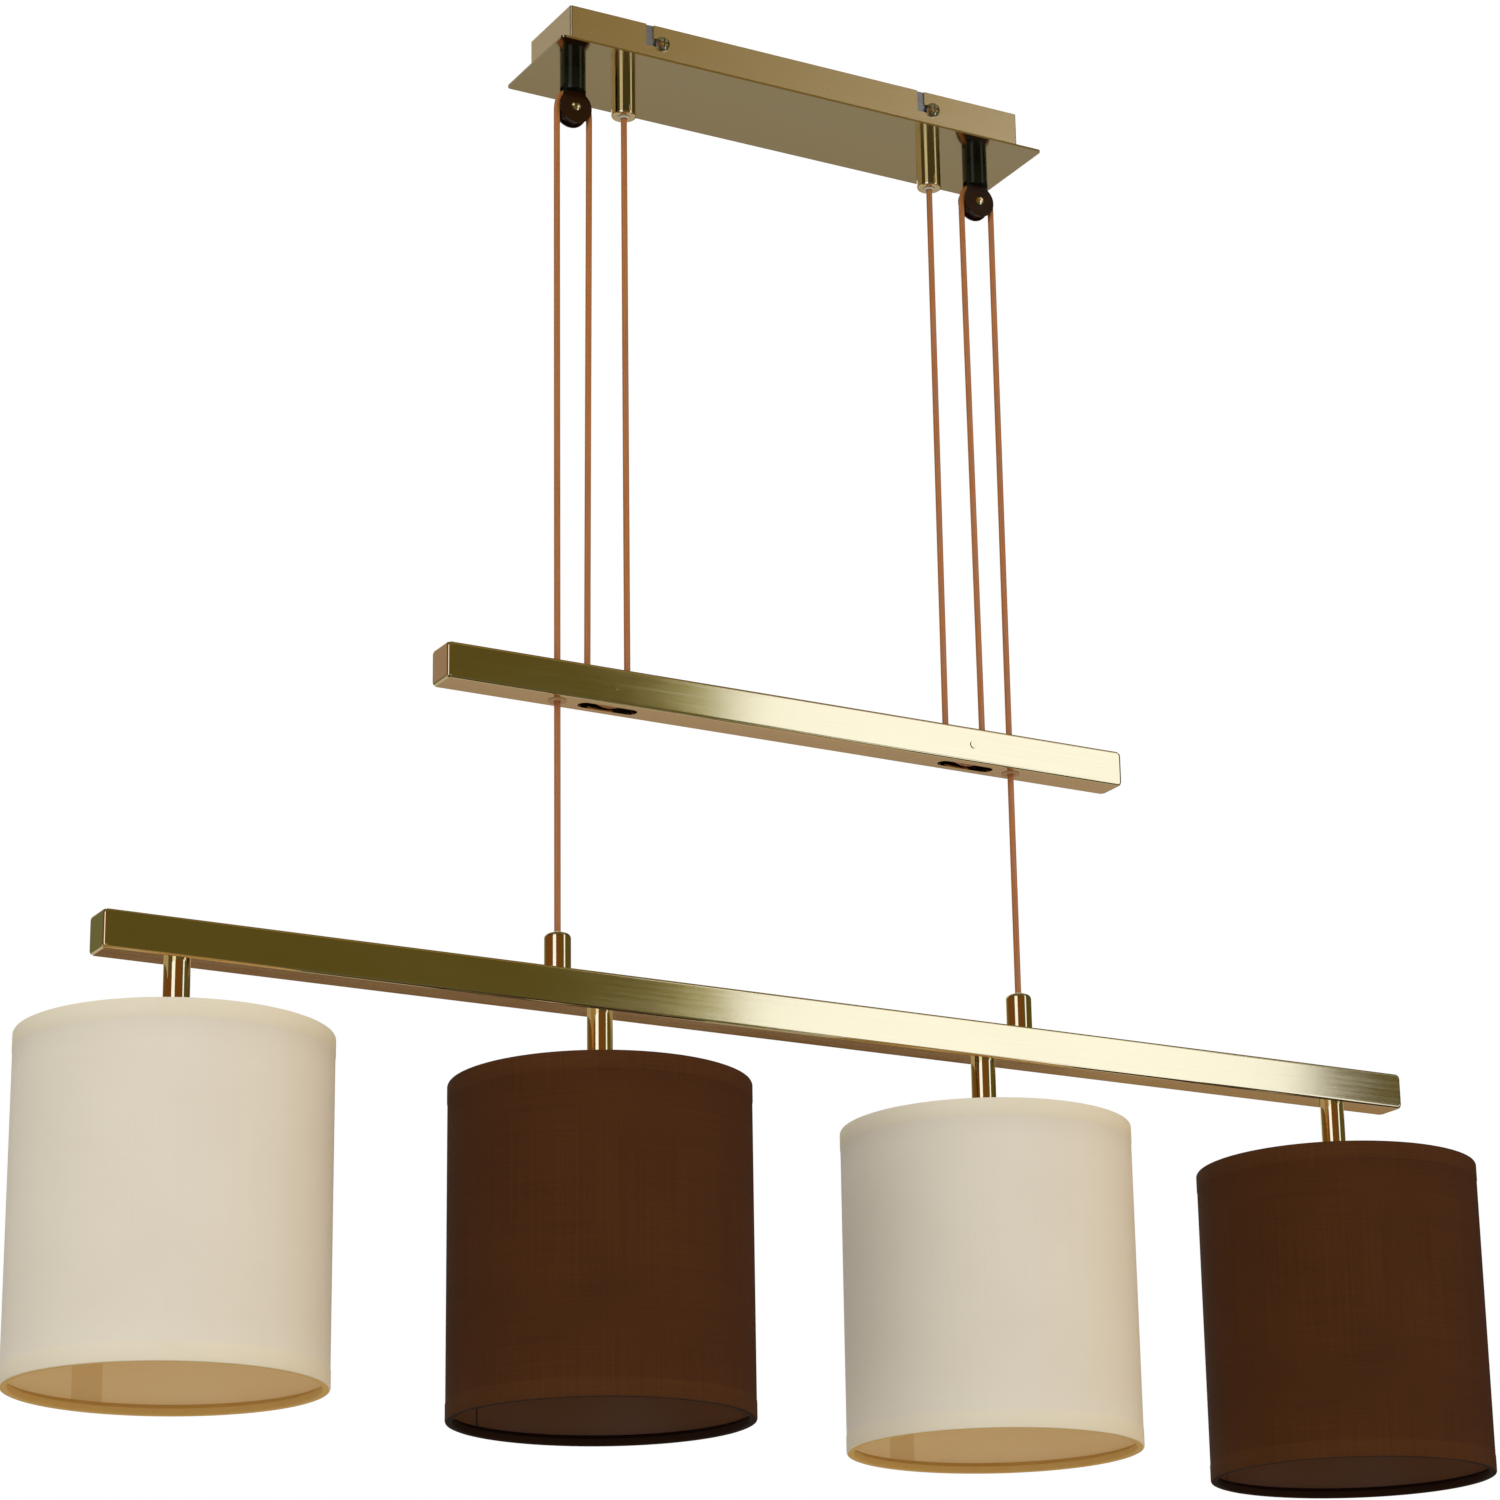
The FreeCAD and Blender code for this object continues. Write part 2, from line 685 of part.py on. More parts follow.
def make_counterweight_tube():
    tube = square_tube("CounterweightBlank",
                       size("CounterweightLength") - 2 * size("CapThickness"))
    place(tube, 0, 0, counter_z)
    tools = []
    reach = (size("PulleySlotLength") - size("PulleySlotWidth")) / 2
    half = size("PulleySlotWidth") / 2
    through = size("BarSection") + 2 * overcut
    low = counter_z - bar_half - overcut
    for side, sign in SIDES:
        middle = sign * counter_wheel_x
        tools.append(block("PulleySlot" + side, (middle - reach, middle + reach),
                           (-half, half), (low, low + through)))
        for end_name, end in (("Inner", middle - reach), ("Outer", middle + reach)):
            tools.append(rod(f"PulleySlot{end_name}{side}", "z", (end, 0, low), half, through))
        tools.append(rod("AxleHole" + side, "y", (middle, -bar_half - overcut, counter_z),
                         size("CounterAxleRadius"), through))
        tools.append(rod("BushHole" + side, "z", (sign * drop_x, 0, low),
                         size("BushRadius"), through))
    keep("counterweight_tube", cut("CounterweightTube", tube, tools))


def make_counterweight_axle(side, sign):
    stand = size("AxleStand")
    axle = rod("CounterAxle" + side, "y", (sign * counter_wheel_x, -bar_half - stand, counter_z),
               size("CounterAxleRadius"), size("BarSection") + 2 * stand)
    keep("counterweight_axle_" + side, axle)


def make_counterweight_wheel(side, sign):
    half = size("CounterWheelWidth") / 2
    hub_half = bar_inner_half - size("WheelSideGap")
    rim = size("CounterWheelRadius")
    hub = size("CounterHubRadius")
    bore = size("CounterAxleRadius") + size("AxleGap")
    wheel = turned("CounterWheel" + side, [
        (bore, -hub_half), (hub, -hub_half), (hub, -half), (rim, -half), (rim, half),
        (hub, half), (hub, hub_half), (bore, hub_half)], "XY_Plane")
    groove(wheel, "CounterGroove" + side, "XY_Plane", size("CounterTurnRadius"),
           cable_radius + size("RunningGap"))
    keep("counterweight_wheel_" + side,
         place(wheel, sign * counter_wheel_x, 0, counter_z))


def make_ballast():
    half = bar_inner_half - size("BallastGap")
    inner_edge = (counter_wheel_x - size("PulleySlotLength") / 2 - size("BallastMargin"))
    outer_start = drop_x + size("BushRadius") + size("BallastMargin")
    outer_end = (size("CounterweightLength") / 2 - size("CapThickness")
                 - size("CapPlugDepth") - size("BallastGap"))
    z_span = (counter_z - half, counter_z + half)
    keep("ballast_center",
         block("BallastCenter", (-inner_edge, inner_edge), (-half, half), z_span))
    keep("ballast_left",
         block("BallastLeft", (-outer_end, -outer_start), (-half, half), z_span))
    keep("ballast_right",
         block("BallastRight", (outer_start, outer_end), (-half, half), z_span))


def make_cord_bushes():
    """Flanged plastic bushes, two to a side, that guide the falling cables."""
    hole = cable_radius + size("RunningGap")
    bushes = []
    for side, sign in SIDES:
        for face_name, up in (("Top", 1), ("Bottom", -1)):
            bush = turned(f"Bush{side}{face_name}", [
                (hole, -up * size("BushDepth")), (size("BushRadius"), -up * size("BushDepth")),
                (size("BushRadius"), 0), (size("BushFlangeRadius"), 0),
                (size("BushFlangeRadius"), up * size("BushFlangeThickness")),
                (hole, up * size("BushFlangeThickness"))])
            bushes.append(place(bush, sign * drop_x, 0, counter_z + up * bar_half))
    keep("cord_bushes", group("CordBushes", bushes))


# ---------------------------------------------------------------- lamp bar

def make_lamp_bar_tube():
    tube = square_tube("LampBarBlank", size("LampBarLength") - 2 * size("CapThickness"))
    place(tube, 0, 0, lamp_z)
    wall = size("BarWall")
    tools = [rod("GlandHole" + side, "z", (sign * drop_x, 0, lamp_top - 2 * wall),
                 thread_hole, 3 * wall) for side, sign in SIDES]
    tools += [rod(f"StemHole{number}", "z", (x, 0, lamp_bottom - wall), thread_hole, 3 * wall)
              for number, x in stem_places.items()]
    keep("lamp_bar_tube", cut("LampBarTube", tube, tools))


def make_bar_nuts():
    nuts = [hex_nut("GlandNut" + side, sign * drop_x,
                    lamp_top - size("BarWall") - size("NutThickness"))
            for side, sign in SIDES]
    nuts += [hex_nut(f"StemNut{number}", x, lamp_bottom + size("BarWall"))
             for number, x in stem_places.items()]
    keep("bar_nuts", group("BarNuts", nuts))


def make_stem(number, x):
    bore = size("StemBoreRadius")
    thread = size("ThreadRadius")
    wide = size("StemRadius")
    length = size("StemLength")
    end = size("ThreadLength")
    stem = turned(f"Stem{number}", [
        (bore, end), (thread, end), (thread, 0), (wide, 0), (wide, -length),
        (thread, -length), (thread, -length - end), (bore, -length - end)])
    keep(f"stem_{number}", place(stem, x, 0, lamp_bottom))


flange_bottom = size("HolderFlangeTop") + size("HolderFlangeThickness")


def make_lampholder(number, x):
    skirt = size("HolderSkirtRadius")
    flange = size("HolderFlangeRadius")
    length = size("HolderLength")
    seat = size("ThreadLength") + size("ThreadClearance")
    chamber = length - size("SocketDepth")
    wire = 2 * size("CoreRadius")
    holder = turned(f"Lampholder{number}", [
        (thread_hole, 0), (size("HolderCollarRadius"), 0),
        (skirt, -0.8 * size("HolderFlangeTop")), (flange, -size("HolderFlangeTop")),
        (flange, -flange_bottom), (skirt, -flange_bottom), (skirt, -length),
        (size("HolderBoreRadius"), -length), (size("HolderBoreRadius"), -chamber),
        (wire, -chamber), (wire, -seat), (thread_hole, -seat)])
    keep(f"lampholder_{number}", place(holder, x, 0, holder_top))


def make_holder_contacts():
    """Screw shell and centre contact of each lampholder."""
    length = size("HolderLength")
    chamber = length - size("SocketDepth")
    shell_top = chamber + size("ContactThickness")
    contact_bore = size("CoreRadius") + size("CableBoreClearance")
    pieces = []
    for number, x in stem_places.items():
        shell = turned(f"Shell{number}", [
            (size("SocketRadius"), -length), (size("HolderBoreRadius"), -length),
            (size("HolderBoreRadius"), -shell_top), (size("SocketRadius"), -shell_top)])
        tip = turned(f"Tip{number}", [
            (contact_bore, -chamber), (size("ContactRadius"), -chamber),
            (size("ContactRadius"), -shell_top), (contact_bore, -shell_top)])
        pieces += [place(shell, x, 0, holder_top), place(tip, x, 0, holder_top)]
    keep("lampholder_contacts", group("HolderContacts", pieces))


def make_shade_clamp_rings():
    hole = size("HolderSkirtRadius") + size("RingGap")
    top = -flange_bottom - size("FitterThickness")
    rings = []
    for number, x in stem_places.items():
        ring = turned(f"ClampRing{number}", [
            (hole, top), (size("ClampRingRadius"), top),
            (size("ClampRingRadius"), top - size("ClampRingHeight")),
            (hole, top - size("ClampRingHeight"))])
        rings.append(place(ring, x, 0, holder_top))
    keep("shade_clamp_rings", group("ClampRings", rings))


ring_turn_radius = (size("ShadeRadius") - size("ShadeWall") - size("RingWireRadius")
                    - size("RingGap"))
ring_inset = size("HemWeb") + size("RingWireRadius") + size("RingGap")


def make_shade(number, x):
    """Fabric-covered drum with its cloth turned in over both wire rings."""
    outer = size("ShadeRadius")
    inner = outer - size("ShadeWall")
    lip = ring_turn_radius - size("RingWireRadius")
    height = size("ShadeHeight")
    web = size("HemWeb")
    shade = turned(f"Shade{number}", [
        (lip, 0), (outer, 0), (outer, -height), (lip, -height), (lip, web - height),
        (inner, web - height), (inner, -web), (lip, -web)])
    keep(f"shade_{number}", place(shade, x, 0, shade_top))


def make_shade_frame(number, x):
    """Top wire ring, three sloping spokes and the flat fitter ring, brazed together."""
    ring_z = (shade_top - ring_inset).value
    fitter_top = (holder_top - flange_bottom).value
    thickness = size("FitterThickness").value
    fitter_radius = size("FitterRadius").value
    hole_radius = (size("HolderSkirtRadius") + size("RingGap")).value
    axis = FreeCAD.Vector(0, 0, 1)
    ring_center = FreeCAD.Vector(x.value, 0, ring_z)
    wire_radius = size("RingWireRadius").value
    frame = Part.makeTorus(ring_turn_radius.value, wire_radius, ring_center, axis)
    fitter_base = FreeCAD.Vector(x.value, 0, fitter_top - thickness)
    fitter = Part.makeCylinder(fitter_radius, thickness, fitter_base, axis)
    spoke_radius = size("SpokeRadius").value
    for angle in SPOKE_ANGLES:
        direction = FreeCAD.Vector(math.cos(math.radians(angle)),
                                   math.sin(math.radians(angle)), 0)
        start = fitter_base + direction * (fitter_radius - spoke_radius)
        start = start + axis * (thickness / 2)
        end = ring_center + direction * ring_turn_radius.value
        run = end - start
        frame = frame.fuse(Part.makeCylinder(spoke_radius, run.Length, start, run))
    hole = Part.makeCylinder(hole_radius, 4 * thickness, fitter_base - axis * thickness, axis)
    frame = frame.fuse(fitter).cut(hole)
    item = doc.addObject("Part::Feature", f"ShadeFrame{number}")
    item.Shape = frame
    item.Placement = FreeCAD.Placement()
    keep(f"shade_frame_{number}", item)


def make_shade_bottom_rings():
    rings = []
    for number, x in stem_places.items():
        ring = doc.addObject("Part::Torus", f"BottomRing{number}")
        bind(ring, "Radius1", ring_turn_radius)
        bind(ring, "Radius2", size("RingWireRadius"))
        rings.append(place(ring, x, 0, shade_top - size("ShadeHeight") + ring_inset))
    keep("shade_bottom_rings", group("BottomRings", rings))


# ---------------------------------------------------------------- cables and leads

def swept(label, edges, radius):
    """Round tube along joined edges; its volume is compared with section times length."""
    path = Part.Wire(edges)
    start = edges[0].valueAt(edges[0].FirstParameter)
    heading = edges[0].tangentAt(edges[0].FirstParameter)
    section = Part.Wire([Part.makeCircle(radius, start, heading)])
    tube = path.makePipeShell([section], True, False)
    expected = math.pi * radius ** 2 * path.Length
    print(f"{label}: length {path.Length:.1f}, volume over section times length "
          f"{tube.Volume / expected:.5f}")
    return tube


def make_return_cable(side, sign):
    """From the canopy gland round the counterweight's wheel and over the ceiling wheel.

    The cable is too stiff to hug the counterweight's wheel, so its bend is wider than the
    groove and only touches it at the lowest point.
    """
    loop = size("CounterLoopRadius").value
    turn = size("CeilingTurnRadius").value
    across = (pulley_x - counter_wheel_x).value
    height = (pulley_z - loop_z).value
    lean = math.atan2(height, across) - math.acos((loop + turn) / math.hypot(across, height))

    def point(x, z, radius=0.0, angle=0.0):
        return FreeCAD.Vector(sign * (x.value + radius * math.cos(angle)), 0,
                              z.value + radius * math.sin(angle))

    gland_end = point(canopy_gland_x, canopy_gland_end)
    loop_start = point(counter_wheel_x, loop_z, loop, math.pi)
    loop_low = point(counter_wheel_x, loop_z, loop, -math.pi / 2)
    loop_end = point(counter_wheel_x, loop_z, loop, lean)
    turn_start = point(pulley_x, pulley_z, turn, math.pi + lean)
    turn_high = point(pulley_x, pulley_z, turn, math.pi / 2)
    turn_end = point(drop_x, pulley_z)
    tail_end = point(drop_x, drop_top)
    edges = [Part.LineSegment(gland_end, loop_start).toShape(),
             Part.Arc(loop_start, loop_low, loop_end).toShape(),
             Part.LineSegment(loop_end, turn_start).toShape(),
             Part.Arc(turn_start, turn_high, turn_end).toShape(),
             Part.LineSegment(turn_end, tail_end).toShape()]
    item = doc.addObject("Part::Feature", "ReturnCable" + side)
    item.Shape = swept("return cable " + side, edges, cable_radius.value)
    item.Placement = FreeCAD.Placement()
    keep("return_cable_" + side, item)


def make_drop_cable(side, sign):
    cable = rod("DropCable" + side, "z", (sign * drop_x, 0, lamp_gland_end), cable_radius,
                drop_top - lamp_gland_end)
    keep("drop_cable_" + side, cable)


def bent_edges(points, bend_radius):
    """Straight runs through the points, joined by tangent arcs."""
    edges = []
    last = points[0]
    for before, corner, after in zip(points, points[1:], points[2:]):
        back = (before - corner).normalize()
        ahead = (after - corner).normalize()
        half_turn = back.getAngle(ahead) / 2
        setback = bend_radius / math.tan(half_turn)
        arc_start = corner + back * setback
        arc_end = corner + ahead * setback
        middle = (back + ahead).normalize()
        center = corner + middle * (bend_radius / math.sin(half_turn))
        arc_middle = center - middle * bend_radius
        edges.append(Part.LineSegment(last, arc_start).toShape())
        edges.append(Part.Arc(arc_start, arc_middle, arc_end).toShape())
        last = arc_end
    edges.append(Part.LineSegment(last, points[-1]).toShape())
    return edges


def lead(label, places, bend_radius):
    points = [FreeCAD.Vector(*[Length.of(part).value for part in spot]) for spot in places]
    return swept(label, bent_edges(points, bend_radius), size("CoreRadius").value)


def cable_stub(x, low, high):
    """The cable's jacketed end inside a gland's bore."""
    foot = FreeCAD.Vector(x.value, 0, low.value)
    return Part.makeCylinder(cable_radius.value, (high - low).value, foot)


def keep_leads(label, shapes):
    item = doc.addObject("Part::Feature", label + "Leads")
    item.Shape = Part.makeCompound(shapes)
    item.Placement = FreeCAD.Placement()
    keep(label, item)


def make_canopy_leads():
    """Cores from the canopy glands to the terminal block."""
    core_z = -size("BracketThickness") - size("TerminalHeight") / 2
    thread_top = plate_bottom + size("ThreadLength")
    bend = 4 * size("CoreRadius").value
    shapes = []
    for side, sign in SIDES:
        pole_y = sign * size("TerminalPitch")
        start_x = sign * canopy_gland_x
        core = lead("canopy lead " + side, [
            (start_x, 0, thread_top), (start_x, 0, core_z),
            (sign * size("TerminalWidth") * 2, pole_y, core_z),
            (sign * size("TerminalWidth") / 4, pole_y, core_z)], bend)
        shapes.append(cable_stub(start_x, canopy_gland_end, thread_top).fuse(core))
    keep_leads("canopy_leads", shapes)


def make_bar_leads():
    """Cores inside the lamp bar: glands to connector, connector to lampholders."""
    core = size("CoreRadius")
    bend = 3 * core.value
    connector_half = size("ConnectorLength") / 2
    thread_bottom = lamp_top - size("ThreadLength")
    lane = size("ConnectorDepth") / 2 - 2 * core
    inner_z = lamp_bottom + size("ThreadLength") + 2.3 * core
    outer_z = inner_z + 3.3 * core
    contact_z = holder_top - size("HolderLength") + size("SocketDepth")
    shapes = []
    for side, sign in SIDES:
        gland_x = sign * drop_x
        run = lead("gland lead " + side, [
            (gland_x, 0, thread_bottom), (gland_x, 0, outer_z - core),
            (gland_x - sign * 3 * lane, lane, outer_z - core),
            (sign * connector_half, lane, outer_z - core)], bend)
        shapes.append(cable_stub(gland_x, thread_bottom, lamp_gland_end).fuse(run))
        ordered = SHADE_NAMES if sign > 0 else SHADE_NAMES[::-1]
        inner_number, outer_number = ordered[-2:]
        inner_x = stem_places[inner_number]
        outer_x = stem_places[outer_number]
        shapes.append(lead(f"stem lead {inner_number}", [
            (sign * connector_half, 0, inner_z), (inner_x, 0, inner_z),
            (inner_x, 0, contact_z)], bend))
        shapes.append(lead(f"stem lead {outer_number}", [
            (sign * connector_half, -lane, outer_z), (outer_x - sign * 3 * lane, -lane, outer_z),
            (outer_x, 0, outer_z), (outer_x, 0, contact_z)], bend))
    keep_leads("bar_leads", shapes)


def make_connector():
    half_length = size("ConnectorLength") / 2
    half_depth = size("ConnectorDepth") / 2
    floor = lamp_bottom + size("BarWall")
    keep("bar_connector", block("Connector", (-half_length, half_length),
                                (-half_depth, half_depth),
                                (floor, floor + size("ConnectorHeight"))))


# ---------------------------------------------------------------- build and write

def build():
    make_bracket()
    make_canopy_shell()
    make_side_screws()
    make_terminal_block()
    make_canopy_glands()
    for side, sign in SIDES:
        make_pulley_post(side, sign)
        make_pulley_cheeks(side, sign)
        make_pulley_rivet(side, sign)
        make_ceiling_wheel(side, sign)
        make_counterweight_axle(side, sign)
        make_counterweight_wheel(side, sign)
        make_return_cable(side, sign)
        make_drop_cable(side, sign)
        make_gland(f"lamp_gland_{side}", sign * drop_x, lamp_top, size("LampGlandLength"),
                   size("LampGlandRounding"), False)
    make_canopy_leads()
    make_counterweight_tube()
    make_bar_caps("counterweight", size("CounterweightLength"), counter_z)
    make_ballast()
    make_cord_bushes()
    make_lamp_bar_tube()
    make_bar_caps("lamp_bar", size("LampBarLength"), lamp_z)
    make_bar_nuts()
    make_connector()
    make_bar_leads()
    for number, x in stem_places.items():
        make_stem(number, x)
        make_lampholder(number, x)
        make_shade(number, x)
        make_shade_frame(number, x)
    make_holder_contacts()
    make_shade_clamp_rings()
    make_shade_bottom_rings()
    doc.recompute()


def check():
    for item in doc.Objects:
        if "Invalid" in item.State or "Error" in item.State:
            raise RuntimeError(f"{item.Label} failed: {item.State}")
    for item in nodes:
        if item.Shape.isNull() or not item.Shape.isValid() or not item.Shape.Solids:
            raise RuntimeError(f"{item.Label} has no valid solid")
    labels = [item.Label for item in nodes]
    if len(set(labels)) != len(labels):
        raise RuntimeError("two sub-parts share a label")


def write():
    os.makedirs("parts", exist_ok=True)
    for item in nodes:
        item.Shape.exportStep(f"parts/{item.Label}.step")


build()
check()
write()
print(f"cable turns: ceiling wheel radius {size('CeilingTurnRadius').value}, "
      f"counterweight wheel radius {size('CounterTurnRadius').value}, its bend "
      f"{size('CounterLoopRadius').value}")
print(f"{len(nodes)} sub-parts, {sum(len(item.Shape.Solids) for item in nodes)} solids")
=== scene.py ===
# %% [markdown]
# # A rise and fall pendant
# The pendant hangs from a brass canopy. Two cables run round four pulleys, so that a heavy bar
# balances the lamp bar and its four drum shades. The solids come ready made, in metres, with the
# ceiling at z = 0. This lesson dresses them: it gives each surface its finish and replaces the
# cloth and the cables with softer shapes.

# %% Load the solids
import math
import bmesh
import bpy
from mathutils import Matrix, Vector


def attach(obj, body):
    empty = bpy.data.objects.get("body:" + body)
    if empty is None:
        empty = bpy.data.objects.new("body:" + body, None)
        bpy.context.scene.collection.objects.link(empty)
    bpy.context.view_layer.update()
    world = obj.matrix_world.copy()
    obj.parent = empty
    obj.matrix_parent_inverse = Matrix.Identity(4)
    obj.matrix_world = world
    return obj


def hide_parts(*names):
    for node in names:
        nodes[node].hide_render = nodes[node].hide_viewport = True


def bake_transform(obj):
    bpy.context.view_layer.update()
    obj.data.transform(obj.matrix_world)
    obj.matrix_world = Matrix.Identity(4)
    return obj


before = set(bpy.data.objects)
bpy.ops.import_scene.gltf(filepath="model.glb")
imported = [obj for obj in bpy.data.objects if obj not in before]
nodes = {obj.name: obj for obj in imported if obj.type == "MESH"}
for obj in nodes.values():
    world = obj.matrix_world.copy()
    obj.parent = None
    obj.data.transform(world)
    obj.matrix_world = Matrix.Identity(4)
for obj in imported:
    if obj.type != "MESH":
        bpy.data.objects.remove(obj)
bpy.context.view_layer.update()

# %% [markdown]
# ## Camera
# The photograph was taken from the front left and from below, with a long lens. The camera below
# was solved from the straight edges of the bars and the rims of the shades. A long focal length
# keeps the far end of the lamp bar almost as large as the near end.

# %% Put the camera where the photographer stood
IMAGE_PIXELS = 1500
FOCAL_PIXELS = 4278.0
CAMERA_AZIMUTH = math.radians(-29.30)
CAMERA_ELEVATION = math.radians(-18.19)
CAMERA_ROLL = math.radians(-0.89)
CAMERA_DISTANCE = 2.2022
CAMERA_TARGET = Vector((-0.0240, 0.0, -0.3889))
SENSOR_WIDTH = 36.0
FARTHEST_SEEN = 50.0


def make_camera():
    camera = bpy.data.cameras.new("camera")
    camera.sensor_width = SENSOR_WIDTH
    camera.sensor_fit = "HORIZONTAL"
    camera.lens = SENSOR_WIDTH * FOCAL_PIXELS / IMAGE_PIXELS
    camera.clip_end = FARTHEST_SEEN
    holder = bpy.data.objects.new("camera", camera)
    bpy.context.scene.collection.objects.link(holder)
    level = math.cos(CAMERA_ELEVATION)
    towards_camera = Vector((math.sin(CAMERA_AZIMUTH) * level,
                             -math.cos(CAMERA_AZIMUTH) * level, math.sin(CAMERA_ELEVATION)))
    turn = (-towards_camera).to_track_quat("-Z", "Y").to_matrix().to_4x4()
    roll = Matrix.Rotation(CAMERA_ROLL, 4, "Z")
    place = Matrix.Translation(CAMERA_TARGET + towards_camera * CAMERA_DISTANCE)
    holder.matrix_world = place @ turn @ roll
    bpy.context.scene.camera = holder
    return holder


camera_holder = make_camera()
print("camera at", [round(number, 3) for number in camera_holder.matrix_world.translation])

# %% [markdown]
# ## Cables
# Each cable is one length of clear-jacketed twin core. It starts in a canopy gland, runs down and
# round the pulley in the counterweight, goes up and over the ceiling pulley, and drops through the
# counterweight to the lamp bar. The taut runs are straight, so a spline needs few points: the ends,
# one point about six diameters from each pulley, and the corners of the square that the pulley's
# circle sits in. A quadratic spline through that square follows the groove closely. At the
# counterweight the stiff cable bends a little wider than its pulley, so the run that climbs away
# leans by two millimetres. The section has a shallow groove on two sides, between the two cores.

# %% Cable sizes and routes, the same points as the solids
CABLE_RADIUS = 0.0016
CABLE_DIAMETER = 2 * CABLE_RADIUS
LEAD_IN = 6 * CABLE_DIAMETER
CABLE_SWELL = 1.03
PULLEY_X, PULLEY_Z, CEILING_TURN = 0.1253, -0.0470, 0.0095
BEND_X, BEND_Z, BEND_TURN = 0.1064, -0.3656, 0.0114
GLAND_MOUTH_Z = -0.045
LAMP_GLAND_MOUTH_Z = -0.501
RETURN_X = PULLEY_X - CEILING_TURN
BEND_IN_X = BEND_X - BEND_TURN
BEND_OUT_X = BEND_X + BEND_TURN
DROP_X = PULLEY_X + CEILING_TURN
DROP_TOP_Z = PULLEY_Z - CABLE_DIAMETER

RETURN_ROUTE = [
    (BEND_IN_X, GLAND_MOUTH_Z), (BEND_IN_X, BEND_Z + LEAD_IN),
    (BEND_IN_X, BEND_Z - BEND_TURN), (BEND_OUT_X, BEND_Z - BEND_TURN),
    (BEND_OUT_X, BEND_Z + LEAD_IN), (RETURN_X, PULLEY_Z - LEAD_IN),
    (RETURN_X, PULLEY_Z + CEILING_TURN), (DROP_X, PULLEY_Z + CEILING_TURN),
    (DROP_X, DROP_TOP_Z)]
DROP_ROUTE = [(DROP_X, DROP_TOP_Z), (DROP_X, BEND_Z), (DROP_X, LAMP_GLAND_MOUTH_Z)]

# %% A spline, its points, and a grooved tube along it
CORE_GROOVE = 0.16
SECTION_POINTS = 28
CURVE_STEPS = 20


def spline_object(name, points, cyclic=False):
    curve = bpy.data.curves.new(name, "CURVE")
    curve.dimensions = "3D"
    curve.resolution_u = CURVE_STEPS
    spline = curve.splines.new("NURBS")
    spline.points.add(len(points) - 1)
    for control, point in zip(spline.points, points):
        control.co = (*point, 1.0)
    spline.order_u = 3
    spline.use_endpoint_u = not cyclic
    spline.use_cyclic_u = cyclic
    holder = bpy.data.objects.new(name, curve)
    bpy.context.scene.collection.objects.link(holder)
    return holder


def evaluated_mesh(holder):
    bpy.context.view_layer.update()
    graph = bpy.context.evaluated_depsgraph_get()
    return bpy.data.meshes.new_from_object(holder.evaluated_get(graph))


def line_points(holder):
    mesh = evaluated_mesh(holder)
    points = [tuple(vertex.co) for vertex in mesh.vertices]
    bpy.data.meshes.remove(mesh)
    return points


def twin_core_section():
    points = []
    for step in range(SECTION_POINTS):
        angle = 2 * math.pi * step / SECTION_POINTS
        pinch = math.sin(angle) ** 8
        radius = CABLE_RADIUS * (CABLE_SWELL - CORE_GROOVE * pinch)
        points.append((radius * math.cos(angle), radius * math.sin(angle), 0.0))
    return spline_object("section", points, cyclic=True)


def cable(name, route, side):
    guide = spline_object(name + "_guide", [(side * x, 0.0, z) for x, z in route])
    path = line_points(guide)
    section = twin_core_section()
    guide.data.bevel_mode = "OBJECT"
    guide.data.bevel_object = section
    guide.data.twist_mode = "MINIMUM"
    mesh = evaluated_mesh(guide)
    mesh.name = name
    for polygon in mesh.polygons:
        polygon.use_smooth = True
    piece = bpy.data.objects.new(name, mesh)
    bpy.context.scene.collection.objects.link(piece)
    bpy.data.objects.remove(guide)
    bpy.data.objects.remove(section)
    print(name, len(mesh.polygons), "faces")
    return piece, path


# %% Lay both cables on both sides, in place of the solid cables
SIDES = (("left", -1), ("right", 1))
cables = []
for side_name, side in SIDES:
    returning, path = cable("return_cord_" + side_name, RETURN_ROUTE, side)
    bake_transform(returning)
    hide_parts("return_cable_" + side_name)
    dropping, path = cable("drop_cord_" + side_name, DROP_ROUTE, side)
    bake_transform(dropping)
    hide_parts("drop_cable_" + side_name)
    cables += [returning, dropping]

# %% [markdown]
# ## A small language for materials
# A material is a graph of nodes. Long graphs are hard to read as links, so a small class wraps one
# socket and turns Python's arithmetic into Math nodes. A second class builds one finish: its one
# method `node` adds any node, first its settings and then its inputs.

# %% Wrap sockets so that shader maths reads as arithmetic


class Value:
    def __init__(self, finish, socket):
        self.finish = finish
        self.socket = socket

    def math(self, operation, *others, flip=False):
        values = [self, *others]
        if flip:
            values.reverse()
        return self.finish.node("ShaderNodeMath", {"operation": operation}, values)

    def __add__(self, other):
        return self.math("ADD", other)

    def __radd__(self, other):
        return self.math("ADD", other)

    def __sub__(self, other):
        return self.math("SUBTRACT", other)

    def __rsub__(self, other):
        return self.math("SUBTRACT", other, flip=True)

    def __mul__(self, other):
        return self.math("MULTIPLY", other)

    def __rmul__(self, other):
        return self.math("MULTIPLY", other)

    def __gt__(self, other):
        return self.math("GREATER_THAN", other)

    def __lt__(self, other):
        return self.math("LESS_THAN", other)

    def sine(self):
        return self.math("SINE")


